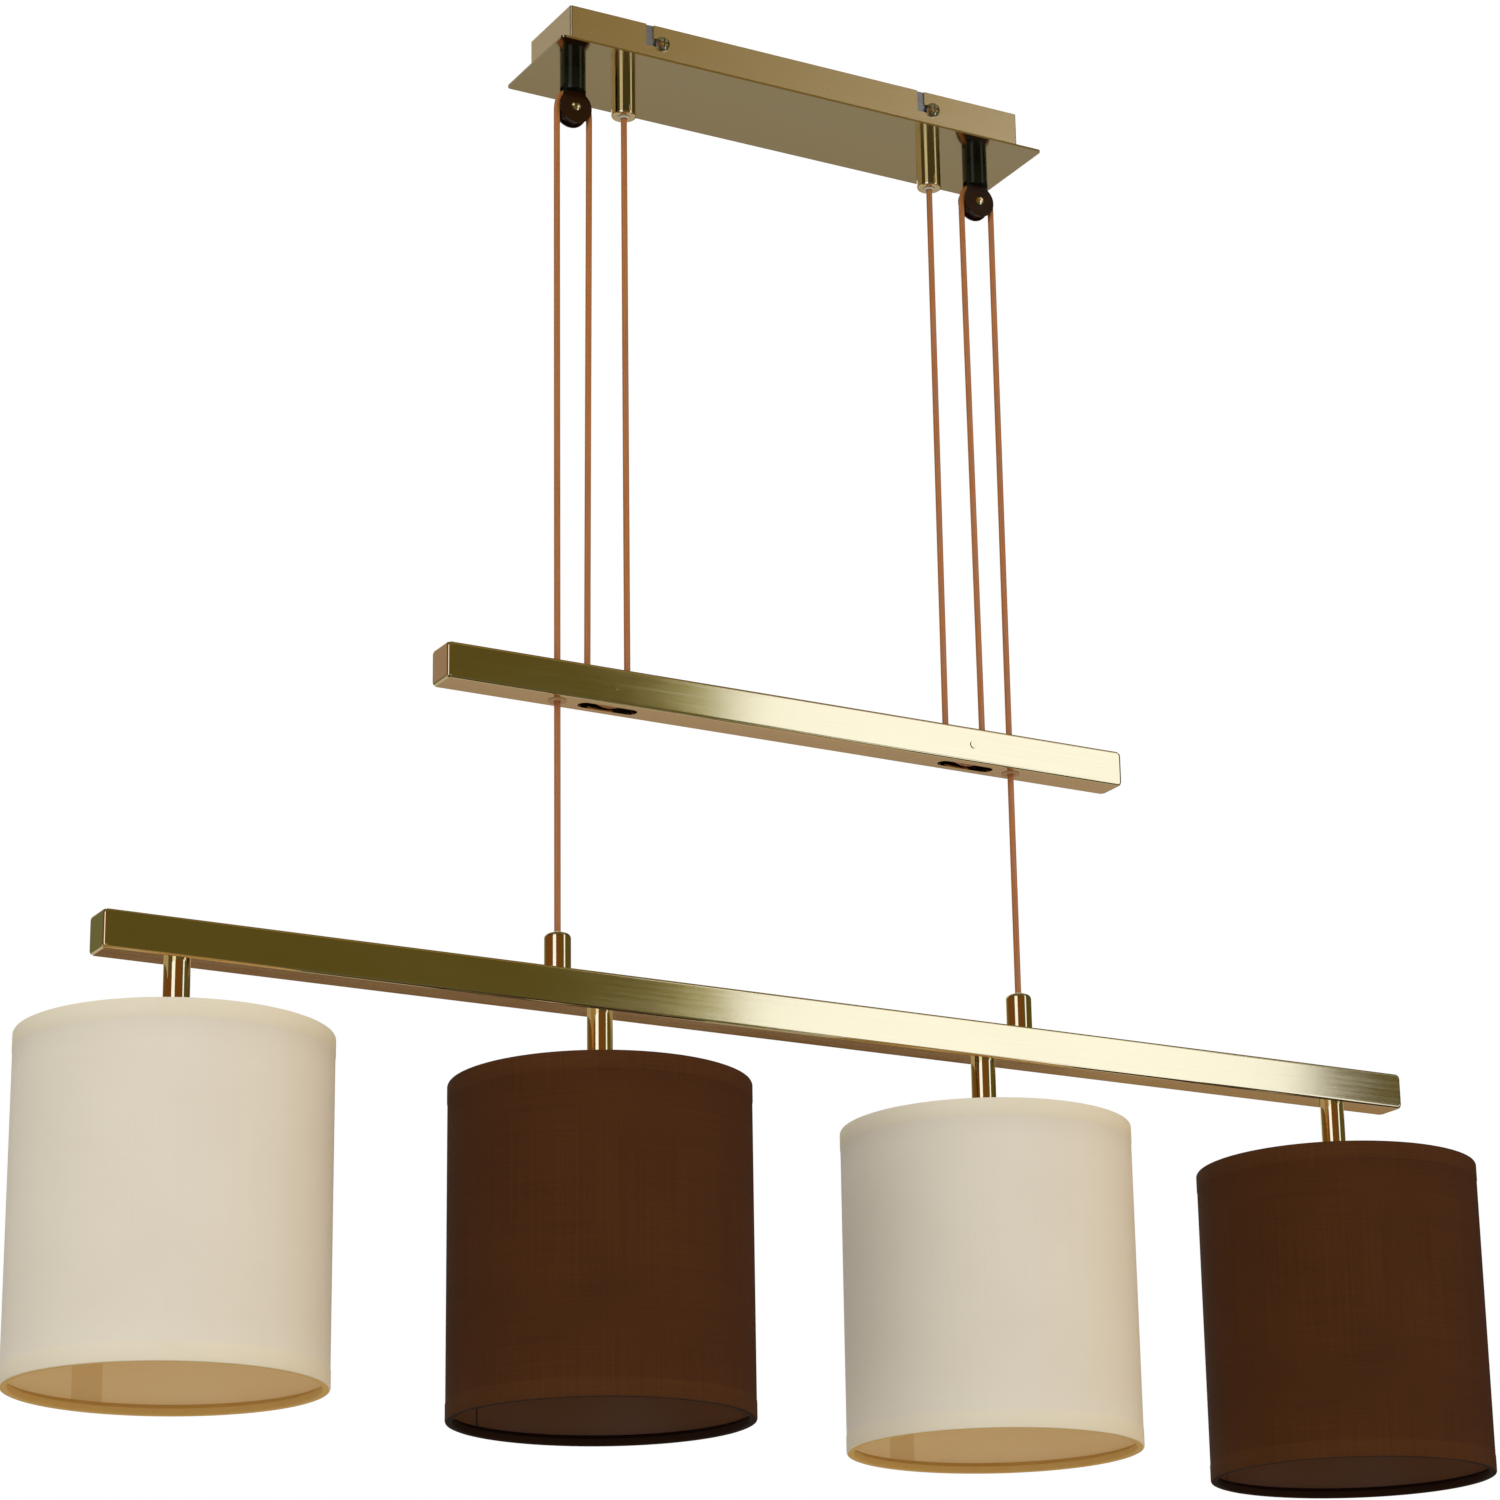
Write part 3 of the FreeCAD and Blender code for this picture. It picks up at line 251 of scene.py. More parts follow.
class Finish:
    """One material: node() adds any node, and surface() links the shader's own sockets."""

    def __init__(self, name):
        self.material = bpy.data.materials.new(name)
        self.material.use_nodes = True
        self.tree = self.material.node_tree
        self.shader = self.tree.nodes["Principled BSDF"]

    def put(self, socket, value):
        if isinstance(value, Value):
            self.tree.links.new(value.socket, socket)
        else:
            socket.default_value = value

    def node(self, kind, settings=None, inputs=(), output=0):
        made = self.tree.nodes.new(kind)
        for name, value in (settings or {}).items():
            setattr(made, name, value)
        pairs = inputs.items() if isinstance(inputs, dict) else enumerate(inputs)
        for name, value in pairs:
            self.put(made.inputs[name], value)
        return Value(self, made.outputs[output])

    def place(self, scale=(1, 1, 1), source="Object"):
        where = self.node("ShaderNodeTexCoord", output=source)
        return self.node("ShaderNodeMapping", {}, {"Vector": where, "Scale": scale})

    def noise(self, vector, scale=1.0, detail=3.0, roughness=0.5):
        return self.node("ShaderNodeTexNoise", {}, {
            "Vector": vector, "Scale": scale, "Detail": detail, "Roughness": roughness})

    def blend_colors(self, factor, first, second):
        """Mixes two colours: a Mix node holds its colour sockets at 6 and 7, and its colour result at 2."""
        return self.node("ShaderNodeMix", {"data_type": "RGBA"},
                         {0: factor, 6: first, 7: second}, output=2)

    def bump(self, height, strength, distance):
        return self.node("ShaderNodeBump", {}, {
            "Height": height, "Strength": strength, "Distance": distance})

    def surface(self, **values):
        for name, value in values.items():
            self.put(self.shader.inputs[name.replace("_", " ")], value)
        return self.material


def tone(red, green, blue):
    """Colour given as it looks on screen, from 0 to 255, turned into light values."""
    light = []
    for part in (red, green, blue):
        share = part / 255
        light.append(share / 12.92 if share <= 0.04045 else ((share + 0.055) / 1.055) ** 2.4)
    return (*light, 1.0)


def both_sides(name):
    return [f"{name}_left", f"{name}_right"]


LAMP_NUMBERS = range(1, 5)


def each_lamp(name):
    return [f"{name}_{number}" for number in LAMP_NUMBERS]


def dress(material, *names):
    """Gives one material to solids, each named, and to finished pieces, each handed over as it is."""
    for name in names:
        solid = nodes[name] if isinstance(name, str) else name
        solid.data.materials.clear()
        solid.data.materials.append(material)


# %% [markdown]
# ## Brushed brass
# The bars and the canopy are plated sheet and square tube, brushed along their length and then
# lacquered. Brushing leaves fine parallel scratches, so the pattern is a noise that is stretched a
# hundredfold along x. It moves the roughness and a faint bump. Broad soft clouds of noise stand for
# the handling marks that a real bar carries, and a few short nicks catch the light.

# %% Brushed brass along x


def brushed_brass(name, dark, light, roughness, cloud_size=18.0, grain=0.05):
    finish = Finish(name)
    long_grain = finish.noise(finish.place((5, 1100, 1100)), 1.0, 4.0, 0.65)
    fine_grain = finish.noise(finish.place((22, 2600, 2600)), 1.0, 2.0, 0.5)
    clouds = finish.noise(finish.place((1, 2.2, 2.2)), cloud_size, 4.0, 0.6)
    nicks = finish.noise(finish.place((90, 420, 420)), 1.0, 1.0, 0.4)
    nick_mask = (nicks > 0.78) * 0.3
    shade = long_grain * 0.5 + fine_grain * 0.2 + clouds * 0.5 - 0.1
    color = finish.blend_colors(shade, dark, light)
    color = finish.blend_colors(nick_mask, color, light)
    rough = (clouds - 0.5) * 0.08 + (long_grain - 0.5) * 0.08 + nick_mask * 0.15 + roughness
    height = long_grain * 0.7 + fine_grain * 0.3 - nick_mask * 0.6
    return finish.surface(Base_Color=color, Roughness=rough, Metallic=1.0,
                          Normal=finish.bump(height, grain, 0.0004))


bar_brass = brushed_brass("bar_brass", tone(222, 202, 150), tone(240, 222, 172), 0.075, 14.0, 0.02)
wall_brass = brushed_brass("wall_brass", tone(226, 207, 157), tone(232, 213, 163), 0.24, 9.0, 0.015)
# The base plate's brass is darker and greyer than the wall's: painted shade for the dim reflection that its
# underside shows.
plate_brass_painted_shade = brushed_brass("plate_brass_painted_shade", tone(176, 162, 122), tone(188, 174, 134), 0.10, 7.0, 0.01)
dress(bar_brass, "lamp_bar_tube", *both_sides("lamp_bar_cap"), "counterweight_tube",
      *both_sides("counterweight_cap"))
dress(wall_brass, "canopy_wall_frame")
dress(plate_brass_painted_shade, "canopy_base_plate")

# %% [markdown]
# ## Turned brass
# Glands, stems and rivets are turned on a lathe and polished, so they are smoother than the bars
# and mirror their surroundings as upright stripes. The tool leaves very fine rings round them.

# %% Turned brass for the small round pieces


def turned_brass(name, dark, light, roughness):
    finish = Finish(name)
    rings = finish.noise(finish.place((60, 60, 4200)), 1.0, 2.0, 0.5)
    clouds = finish.noise(finish.place(), 60.0, 3.0, 0.5)
    color = finish.blend_colors(rings * 0.4 + clouds * 0.6, dark, light)
    rough = (clouds - 0.5) * 0.12 + (rings - 0.5) * 0.06 + roughness
    return finish.surface(Base_Color=color, Roughness=rough, Metallic=1.0,
                          Normal=finish.bump(rings, 0.04, 0.0002))


gland_brass = turned_brass("gland_brass", tone(222, 198, 146), tone(241, 221, 172), 0.08)
dress(gland_brass, *both_sides("canopy_gland"), *both_sides("lamp_gland"), *each_lamp("stem"),
      *both_sides("pulley_rivet"), *both_sides("counterweight_axle"), "lampholder_contacts")

# %% [markdown]
# ## Plain steel
# The bracket, nuts and terminal screws are zinc plated: grey, slightly spangled and dull. The
# ballast is bare rolled bar. The four side screws are nickel plated and bright.

# %% Zinc, rolled steel and bright nickel


def steel(name, dark, light, roughness, spangle):
    finish = Finish(name)
    patches = finish.node("ShaderNodeTexVoronoi", {}, {
        "Vector": finish.place(), "Scale": spangle})
    cells = finish.noise(finish.place(), spangle * 1.7, 2.0, 0.6)
    color = finish.blend_colors(patches * 0.5 + cells * 0.5, dark, light)
    rough = (cells - 0.5) * 0.25 + roughness
    return finish.surface(Base_Color=color, Roughness=rough, Metallic=1.0,
                          Normal=finish.bump(cells, 0.05, 0.0003))


zinc = steel("zinc", tone(150, 154, 156), tone(196, 199, 200), 0.38, 420.0)
rolled_steel = steel("rolled_steel", tone(92, 92, 94), tone(120, 120, 122), 0.5, 90.0)
nickel = steel("nickel", tone(202, 196, 184), tone(232, 228, 218), 0.10, 900.0)
dress(zinc, "ceiling_bracket", "canopy_nuts", "bar_nuts", "terminal_screws")
dress(rolled_steel, "ballast_center", *both_sides("ballast"))
dress(nickel, "canopy_side_screws")

# %% [markdown]
# ## Moulded plastic
# The pulley posts are a bottle green so deep that it reads as black, and the pulleys are a clear
# brown. Both are glossy. Moulded parts are never quite flat, so a low noise bends their highlights.

# %% Glossy and matt plastics


def plastic(name, base, roughness, gloss=0.5, vary=0.12):
    finish = Finish(name)
    clouds = finish.noise(finish.place(), 160.0, 3.0, 0.5)
    pits = finish.noise(finish.place(), 1500.0, 2.0, 0.5)
    darker = tuple(part * (1 - vary) for part in base[:3]) + (1.0,)
    lighter = tuple(min(1.0, part * (1 + vary)) for part in base[:3]) + (1.0,)
    color = finish.blend_colors(clouds, darker, lighter)
    finish.shader.inputs["Specular IOR Level"].default_value = gloss
    finish.shader.inputs["IOR"].default_value = 1.49
    rough = (clouds - 0.5) * 0.1 + (pits - 0.5) * 0.05 + roughness
    return finish.surface(Base_Color=color, Roughness=rough,
                          Normal=finish.bump(clouds * 0.8 + pits * 0.2, 0.05, 0.0004))


post_plastic = plastic("post_plastic", tone(20, 25, 14), 0.16, gloss=0.45)
pulley_plastic = plastic("pulley_plastic", tone(30, 9, 3), 0.10, gloss=0.36)
ivory_plastic = plastic("ivory_plastic", tone(236, 232, 220), 0.45, vary=0.04)
bush_plastic = plastic("bush_plastic", tone(196, 154, 112), 0.40, gloss=0.3)
nylon = plastic("nylon", tone(206, 202, 184), 0.35, vary=0.05)
dress(post_plastic, *both_sides("pulley_post"))
dress(pulley_plastic, *both_sides("pulley_cheeks"), *both_sides("ceiling_wheel"),
      *both_sides("counterweight_wheel"))
dress(ivory_plastic, "terminal_block", "bar_connector", "shade_clamp_rings",
      *each_lamp("lampholder"))
dress(bush_plastic, "cord_bushes")

# %% [markdown]
# ## Lacquer and cable jacket
# The wire frames are dipped in white lacquer, which dries with a fine orange peel. The cable's
# clear amber jacket shows the twisted copper strands inside. Clear plastic over modelled strands
# would be heavy for a piece three millimetres thick, so the strands are streaks of noise along the
# cable, and a thin coat over them gives the gloss.

# %% White lacquer for the wire frames, and the cable jackets


def lacquer(name, base):
    finish = Finish(name)
    peel = finish.noise(finish.place(), 900.0, 2.0, 0.5)
    wear = finish.noise(finish.place(), 70.0, 4.0, 0.6)
    dulled = tuple(part * 0.9 for part in base[:3]) + (1.0,)
    return finish.surface(Base_Color=finish.blend_colors(wear, dulled, base),
                          Roughness=(wear - 0.5) * 0.2 + 0.35,
                          Normal=finish.bump(peel, 0.08, 0.0003))


def jacket(name, copper, amber):
    """Clear amber jacket: the tinned and bare copper strands inside show as lengthwise streaks."""
    finish = Finish(name)
    strands = finish.noise(finish.place((2400, 2400, 40)), 1.0, 2.0, 0.5)
    clouds = finish.noise(finish.place((30, 30, 12)), 1.0, 2.0, 0.5)
    color = finish.blend_colors(strands * 0.7 + clouds * 0.3, copper, amber)
    finish.shader.inputs["Coat Weight"].default_value = 0.3
    finish.shader.inputs["Coat Roughness"].default_value = 0.12
    finish.shader.inputs["Specular IOR Level"].default_value = 0.3
    finish.shader.inputs["Subsurface Weight"].default_value = 0.1
    finish.shader.inputs["Subsurface Scale"].default_value = 0.001
    return finish.surface(Base_Color=color, Roughness=(strands - 0.5) * 0.15 + 0.34,
                          Normal=finish.bump(strands, 0.15, 0.0003))


white_lacquer = lacquer("white_lacquer", tone(232, 230, 222))
amber_jacket = jacket("amber_jacket", tone(136, 76, 32), tone(190, 126, 68))
dress(white_lacquer, *each_lamp("shade_frame"), "shade_bottom_rings")
dress(amber_jacket, "canopy_leads", "bar_leads", *cables)

# %% [markdown]
# ## Drum shades
# Each shade is a sleeve of cotton laminated to a stiff clear liner. The cloth is turned in over a
# wire ring at the top and the bottom: it rolls round the wire, and outside a band a few
# millimetres wide shows where the cloth is doubled. The profile is drawn once, as the section of one
# side, and spun round the stem. A map in metres goes with it, so that the weave keeps its scale.

# %% The section of one side of a shade
SHADE_RADIUS = 0.075
SHADE_TOP = -0.576
SHADE_BOTTOM = -0.741
HEM_WIDTH = 0.0085
HEM_PROUD = 0.0002
HEM_STEP = 0.0004
ROUND_OFF = 0.0007
CORNER_INSET = 0.3 * ROUND_OFF
WALL = 0.0009
WALL_STEPS = 12
ROLL_RADIUS = 0.0712
ROLL_HEIGHT = 0.0033
INSIDE_HEM = 0.0055
SPIN_STEPS = 144
SHADE_PITCH = 0.223
MIDDLE_LAMP = sum(LAMP_NUMBERS) / len(LAMP_NUMBERS)
STEM_X = {number: (number - MIDDLE_LAMP) * SHADE_PITCH for number in LAMP_NUMBERS}
SMOOTH_ANGLE = math.radians(40)
OUTSIDE, HEM, INSIDE, ROLL = 0, 1, 2, 3


def shade_section():
    """Corners of the section as (radius, height, zone of the face that follows)."""
    top, bottom, out = SHADE_TOP, SHADE_BOTTOM, SHADE_RADIUS
    inner, outer = out - WALL, out - HEM_PROUD
    high, low = top - HEM_WIDTH - HEM_STEP, bottom + HEM_WIDTH + HEM_STEP
    corners = [(ROLL_RADIUS, top - ROLL_HEIGHT, ROLL), (ROLL_RADIUS, top - ROUND_OFF, ROLL),
               (ROLL_RADIUS + CORNER_INSET, top - CORNER_INSET, ROLL),
               (ROLL_RADIUS + ROUND_OFF, top, ROLL), (out - ROUND_OFF, top, HEM),
               (out - CORNER_INSET, top - CORNER_INSET, HEM),
               (out, top - ROUND_OFF, HEM), (out, top - HEM_WIDTH, HEM), (outer, high, OUTSIDE)]
    for step in range(1, WALL_STEPS):
        corners.append((outer, high + (low - high) * step / WALL_STEPS, OUTSIDE))
    corners += [(outer, low, HEM), (out, bottom + HEM_WIDTH, HEM), (out, bottom + ROUND_OFF, HEM),
                (out - CORNER_INSET, bottom + CORNER_INSET, HEM),
                (out - ROUND_OFF, bottom, ROLL), (ROLL_RADIUS + ROUND_OFF, bottom, ROLL),
                (ROLL_RADIUS + CORNER_INSET, bottom + CORNER_INSET, ROLL),
                (ROLL_RADIUS, bottom + ROUND_OFF, ROLL),
                (ROLL_RADIUS, bottom + ROLL_HEIGHT, ROLL),
                (inner, bottom + INSIDE_HEM, INSIDE)]
    inside_tall = top - bottom - 2 * INSIDE_HEM
    for step in range(1, WALL_STEPS):
        corners.append((inner, bottom + INSIDE_HEM + inside_tall * step / WALL_STEPS, INSIDE))
    corners.append((inner, top - INSIDE_HEM, ROLL))
    return corners


def spun(section, center, steps):
    """Spins a closed section of (radius, height, zone) round an upright axis through center."""
    shape = bmesh.new()
    ring = [shape.verts.new((center[0] + radius, center[1], height))
            for radius, height, zone in section]
    edges = [shape.edges.new(ends) for ends in zip(ring, ring[1:] + ring[:1])]
    bmesh.ops.spin(shape, geom=ring + edges, cent=center, axis=(0, 0, 1),
                   angle=2 * math.pi, steps=steps, use_merge=True)
    bmesh.ops.remove_doubles(shape, verts=shape.verts, dist=1e-7)
    bmesh.ops.recalc_face_normals(shape, faces=shape.faces)
    return shape


def finish_piece(name, shape, materials):
    mesh = bpy.data.meshes.new(name)
    shape.to_mesh(mesh)
    shape.free()
    for polygon in mesh.polygons:
        polygon.use_smooth = True
    mesh.set_sharp_from_angle(angle=SMOOTH_ANGLE)
    for material in materials:
        mesh.materials.append(material)
    piece = bpy.data.objects.new(name, mesh)
    bpy.context.scene.collection.objects.link(piece)
    print(name, len(mesh.polygons), "faces")
    return piece


# %% [markdown]
# ## Cloth
# Plain cotton weave: two sets of threads, a little under half a millimetre apart. Single threads
# are thinner than a pixel of the photograph, so what reads from a step away is the slub, the slight
# change from thread to thread. Two stretched noises make it, one along each set. The lining is a
# smooth film that shows the back of the cloth, with one upright lap where its ends overlap.

# %% Woven cotton on a map in metres
WARP_PITCH = 0.00045
WEFT_PITCH = 0.00040


def cotton(name, dark, light, sheen, slub_strength, bump_strength=0.25, gloss=0.15):
    finish = Finish(name)
    across = finish.node("ShaderNodeSeparateXYZ", {}, [finish.place(source="UV")])
    along = Value(finish, across.socket.node.outputs[1])
    warp = (across * (2 * math.pi / WARP_PITCH)).sine()
    weft = (along * (2 * math.pi / WEFT_PITCH)).sine()
    weave = (warp * weft) * 0.5 + 0.5
    slub_along = finish.noise(finish.place((14, 1500, 1), "UV"), 1.0, 3.0, 0.6)
    slub_across = finish.noise(finish.place((1300, 10, 1), "UV"), 1.0, 3.0, 0.6)
    clouds = finish.noise(finish.place((1, 1, 1), "UV"), 22.0, 3.0, 0.5)
    shade = ((slub_along - 0.5) * slub_strength + (slub_across - 0.5) * slub_strength
             + (clouds - 0.5) * 0.5 + (weave - 0.5) * 0.25 + 0.5)
    finish.shader.inputs["Specular IOR Level"].default_value = gloss
    finish.shader.inputs["Sheen Weight"].default_value = sheen
    finish.shader.inputs["Sheen Roughness"].default_value = 0.5
    finish.shader.inputs["Sheen Tint"].default_value = light
    height = weave * 0.6 + slub_along * 0.2 + slub_across * 0.2
    return finish.surface(Base_Color=finish.blend_colors(shade, dark, light),
                          Roughness=(slub_along - 0.5) * 0.1 + 0.88,
                          Normal=finish.bump(height, bump_strength, 0.00025))


def lining(name, dark, light, lap_color, lap_start, lap_width):
    """Inner film with one upright lap; the map's first number is the way round, in metres."""
    finish = Finish(name)
    around = finish.node("ShaderNodeSeparateXYZ", {}, [finish.place(source="UV")])
    lap = (around > lap_start) * (around < lap_start + lap_width)
    clouds = finish.noise(finish.place((1, 1, 1), "UV"), 16.0, 3.0, 0.5)
    weave = finish.noise(finish.place((900, 900, 1), "UV"), 1.0, 2.0, 0.5)
    color = finish.blend_colors(clouds * 0.7 + weave * 0.3, dark, light)
    color = finish.blend_colors(lap, color, lap_color)
    return finish.surface(Base_Color=color, Roughness=(clouds - 0.5) * 0.1 + 0.55,
                          Normal=finish.bump(lap + weave * 0.1, 0.2, 0.0003))


# The lap lies at the back of each drum, a little left of the middle as the camera sees it.
LAP_START = {"cream": 0.1205, "brown": 0.1540}
cream_cloth = cotton("cream_cloth", tone(216, 207, 191), tone(229, 222, 208), 0.05, 0.30)
cream_hem = cotton("cream_hem", tone(219, 209, 187), tone(231, 223, 202), 0.05, 0.25)
# The linings' colours are painted light: brighter and warmer than the cloth whose back they show, so that
# the inside of each drum looks lit.
cream_lining_painted_light = lining("cream_lining_painted_light", tone(243, 216, 166), tone(250, 228, 182),
                      tone(233, 202, 146), LAP_START["cream"], 0.0165)
# The cloth rolled over the rims is the same cotton, given darker, warmer colours: painted shade for the
# rims' edges and inner turn.
cream_roll_painted_shade = cotton("cream_roll_painted_shade", tone(206, 166, 96), tone(220, 182, 112), 0.0, 0.3)
brown_cloth = cotton("brown_cloth", tone(60, 30, 6), tone(82, 46, 14), 0.0, 0.9)
brown_hem = cotton("brown_hem", tone(64, 34, 8), tone(86, 50, 18), 0.0, 0.8)
# Painted light in the brown lining as well, brighter than the brown cloth.
brown_lining_painted_light = lining("brown_lining_painted_light", tone(104, 63, 30), tone(118, 75, 38),
                      tone(36, 16, 6), LAP_START["brown"], 0.0012)
# Painted shade on the brown rims too: darker copies of the brown cloth.
brown_roll_painted_shade = cotton("brown_roll_painted_shade", tone(38, 16, 2), tone(50, 24, 4), 0.0, 0.6)

# %% [markdown]
# ## Making the shades
# A drum could be a cylinder given a thickness, but its hems need a drawn profile, so the section is
# spun instead. Each face takes its material from the stretch of the section that made it. The
# shades alternate, cream and brown. The frame holds the cloth taut, so it needs no simulation.

# %% Spin, map and place the four shades


def map_in_metres(mesh, center_x):
    """Gives the cloth its map: the way round and the height, both in metres."""
    layer = mesh.uv_layers.new(name="cloth")
    for polygon in mesh.polygons:
        turns = []
        for index in polygon.loop_indices:
            point = mesh.vertices[mesh.loops[index].vertex_index].co
            turns.append(math.atan2(point.y, point.x - center_x))
        wraps = max(turns) - min(turns) > math.pi
        for index, turn in zip(polygon.loop_indices, turns):
            if wraps and turn < 0:
                turn += 2 * math.pi
            height = mesh.vertices[mesh.loops[index].vertex_index].co.z
            layer.data[index].uv = (turn * SHADE_RADIUS, height)


def set_zones(shape, section, center_x):
    """Names each face's zone by the stretch of the section that it lies on.

    The wall is thin and tall, so an error in radius counts three times an error in height.
    """
    middles = []
    for (r0, z0, zone), (r1, z1, _) in zip(section, section[1:] + section[:1]):
        middles.append(((r0 + r1) / 2, (z0 + z1) / 2, zone))
    for face in shape.faces:
        spot = face.calc_center_median()
        radius = math.hypot(spot.x - center_x, spot.y) / math.cos(math.pi / SPIN_STEPS)
        nearest = min(middles, key=lambda middle: (3 * (middle[0] - radius)) ** 2
                      + (middle[1] - spot.z) ** 2)
        face.material_index = nearest[2]


def make_shade(number, materials):
    center_x = STEM_X[number]
    section = shade_section()
    name = f"drum_shade_{number}"
    shape = spun(section, (center_x, 0, 0), SPIN_STEPS)
    set_zones(shape, section, center_x)
    piece = finish_piece(name, shape, materials)
    map_in_metres(piece.data, center_x)
    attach(piece, "lamp_bar")
    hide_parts(f"shade_{number}")
    return piece


for number in LAMP_NUMBERS:
    if number % 2:
        make_shade(number, [cream_cloth, cream_hem, cream_lining_painted_light, cream_roll_painted_shade])
    else:
        make_shade(number, [brown_cloth, brown_hem, brown_lining_painted_light, brown_roll_painted_shade])

# %% [markdown]
# ## Nylon rings
# A pale nylon ring closes the mouth of each gland, and the cable leaves through it.

# %% Rings in the mouths of the glands
RING_OUT, RING_IN, RING_PROUD = 0.0032, 0.00185, 0.0009
RING_SEAT = 0.0002
RING_STEPS = 40


def nylon_ring(name, x, mouth_z, way, body):
    section = [(RING_IN, mouth_z + way * RING_SEAT, 0), (RING_OUT, mouth_z + way * RING_SEAT, 0),
               (RING_OUT - 0.0002, mouth_z + way * 0.7 * RING_PROUD, 0),
               (RING_OUT - 0.0007, mouth_z + way * RING_PROUD, 0),
               (RING_IN, mouth_z + way * RING_PROUD, 0)]
    piece = finish_piece(name, spun(section, (x, 0, 0), RING_STEPS), [nylon])
    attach(piece, body)


for side_name, side in SIDES:
    nylon_ring("canopy_ring_" + side_name, side * BEND_IN_X, GLAND_MOUTH_Z, -1, "canopy")
    nylon_ring("lamp_ring_" + side_name, side * DROP_X, LAMP_GLAND_MOUTH_Z, 1, "lamp_bar")

# %% [markdown]
# ## Studio
# The photograph was made in an even white light. The world is plain white to the camera and in
# mirrors, and softer as a light, so that the pale shades keep their tone. The floor is plain and
# pale, and lies low enough for the lamp's lowest position.

# %% World and floor
WHITE = (1.0, 1.0, 1.0, 1.0)
SKY_COLOR = (1.0, 0.985, 0.95, 1.0)
SKY_LIGHT = 0.62
FLOOR_Z = -1.45
FLOOR_RADIUS = 9.0


def make_world():
    world = bpy.data.worlds.new("studio")
    world.use_nodes = True
    tree = world.node_tree
    tree.nodes.clear()
    rays = tree.nodes.new("ShaderNodeLightPath")
    seen = tree.nodes.new("ShaderNodeMath")
    seen.operation = "MAXIMUM"
    tree.links.new(rays.outputs["Is Camera Ray"], seen.inputs[0])
    tree.links.new(rays.outputs["Is Glossy Ray"], seen.inputs[1])
    clear = tree.nodes.new("ShaderNodeMath")
    clear.operation = "MAXIMUM"
    tree.links.new(seen.outputs[0], clear.inputs[0])
    tree.links.new(rays.outputs["Is Transmission Ray"], clear.inputs[1])
    light = tree.nodes.new("ShaderNodeBackground")
    light.inputs["Color"].default_value = SKY_COLOR
    light.inputs["Strength"].default_value = SKY_LIGHT
    white = tree.nodes.new("ShaderNodeBackground")
    white.inputs["Color"].default_value = WHITE
    mix = tree.nodes.new("ShaderNodeMixShader")
    tree.links.new(clear.outputs[0], mix.inputs[0])
    tree.links.new(light.outputs[0], mix.inputs[1])
    tree.links.new(white.outputs[0], mix.inputs[2])
    output = tree.nodes.new("ShaderNodeOutputWorld")
    tree.links.new(mix.outputs[0], output.inputs["Surface"])
    bpy.context.scene.world = world


def make_floor():
    shape = bmesh.new()
    bmesh.ops.create_circle(shape, cap_ends=True, segments=64, radius=FLOOR_RADIUS)
    bmesh.ops.translate(shape, verts=shape.verts, vec=(0, 0, FLOOR_Z))
    finish = Finish("pale_floor")
    clouds = finish.noise(finish.place(), 2.0, 3.0, 0.5)
    color = finish.blend_colors(clouds, tone(226, 224, 218), tone(232, 230, 226))
    finish.surface(Base_Color=color, Roughness=0.9)
    finish_piece("floor", shape, [finish.material])


make_world()
make_floor()

# %% [markdown]
# ## What the brass mirrors
# Polished metal has little colour of its own and shows what is round it, so cards that only
# reflections can see stand for the room. They are lighting, and not part of the lamp. Seen from the
# front left, the fronts of the bars mirror the front right: a dark flag and then a bright card, so
# they go from olive to cream. Their undersides mirror the floor behind them on the right, and their
# ends mirror the room behind them on the left. The upright gloss on glands and stems comes from the
# bright cards on both sides.

# %% Cards and flags that the brass mirrors
CARD_RADIUS = 4.2
CARD_STEPS = 24
CARD_FOOT_Z = -1.3
CARD_SPLIT_Z = 1.75
CARD_TOP_Z = 4.2
CEILING_HALF = 4.2
FLOOR_CARD_Z = FLOOR_Z + 0.05
FLOOR_RING_Z = FLOOR_Z + 0.08
FLOOR_RING_INNER = 1.0


def glow(name, color):
    material = bpy.data.materials.new(name)
    material.use_nodes = True
    tree = material.node_tree
    tree.nodes.clear()
    light = tree.nodes.new("ShaderNodeEmission")
    light.inputs["Color"].default_value = color
    output = tree.nodes.new("ShaderNodeOutputMaterial")
    tree.links.new(light.outputs[0], output.inputs["Surface"])
    return material


def hide_from_all_but_mirrors(piece):
    piece.visible_camera = False
    piece.visible_diffuse = False
    piece.visible_shadow = False
    piece.visible_transmission = False


def card(name, turn_from, turn_to, low, high, color, near=CARD_RADIUS):
    """Curved card; turns are degrees from the front (-y), positive towards the right (+x).

    It stands at the card radius, unless near brings its low edge closer to the lamp.
    """
    shape = bmesh.new()
    turn = math.radians(turn_from)
    corners = [shape.verts.new((radius * math.sin(turn), -radius * math.cos(turn), height))
               for radius, height in ((near, low), (CARD_RADIUS, high))]
    edge = shape.edges.new(corners)
    bmesh.ops.spin(shape, geom=corners + [edge], cent=(0, 0, 0), axis=(0, 0, 1),
                   angle=math.radians(turn_to - turn_from), steps=CARD_STEPS, use_merge=False)
    hide_from_all_but_mirrors(finish_piece(name, shape, [glow(name, color)]))


def flat_card(name, low_corner, high_corner, color, height=FLOOR_CARD_Z):
    """Flat card between two corners given as (x, y), just above the floor unless raised."""
    (x0, y0), (x1, y1) = low_corner, high_corner
    shape = bmesh.new()
    shape.faces.new([shape.verts.new((x, y, height))
                     for x, y in ((x0, y0), (x1, y0), (x1, y1), (x0, y1))])
    hide_from_all_but_mirrors(finish_piece(name, shape, [glow(name, color)]))


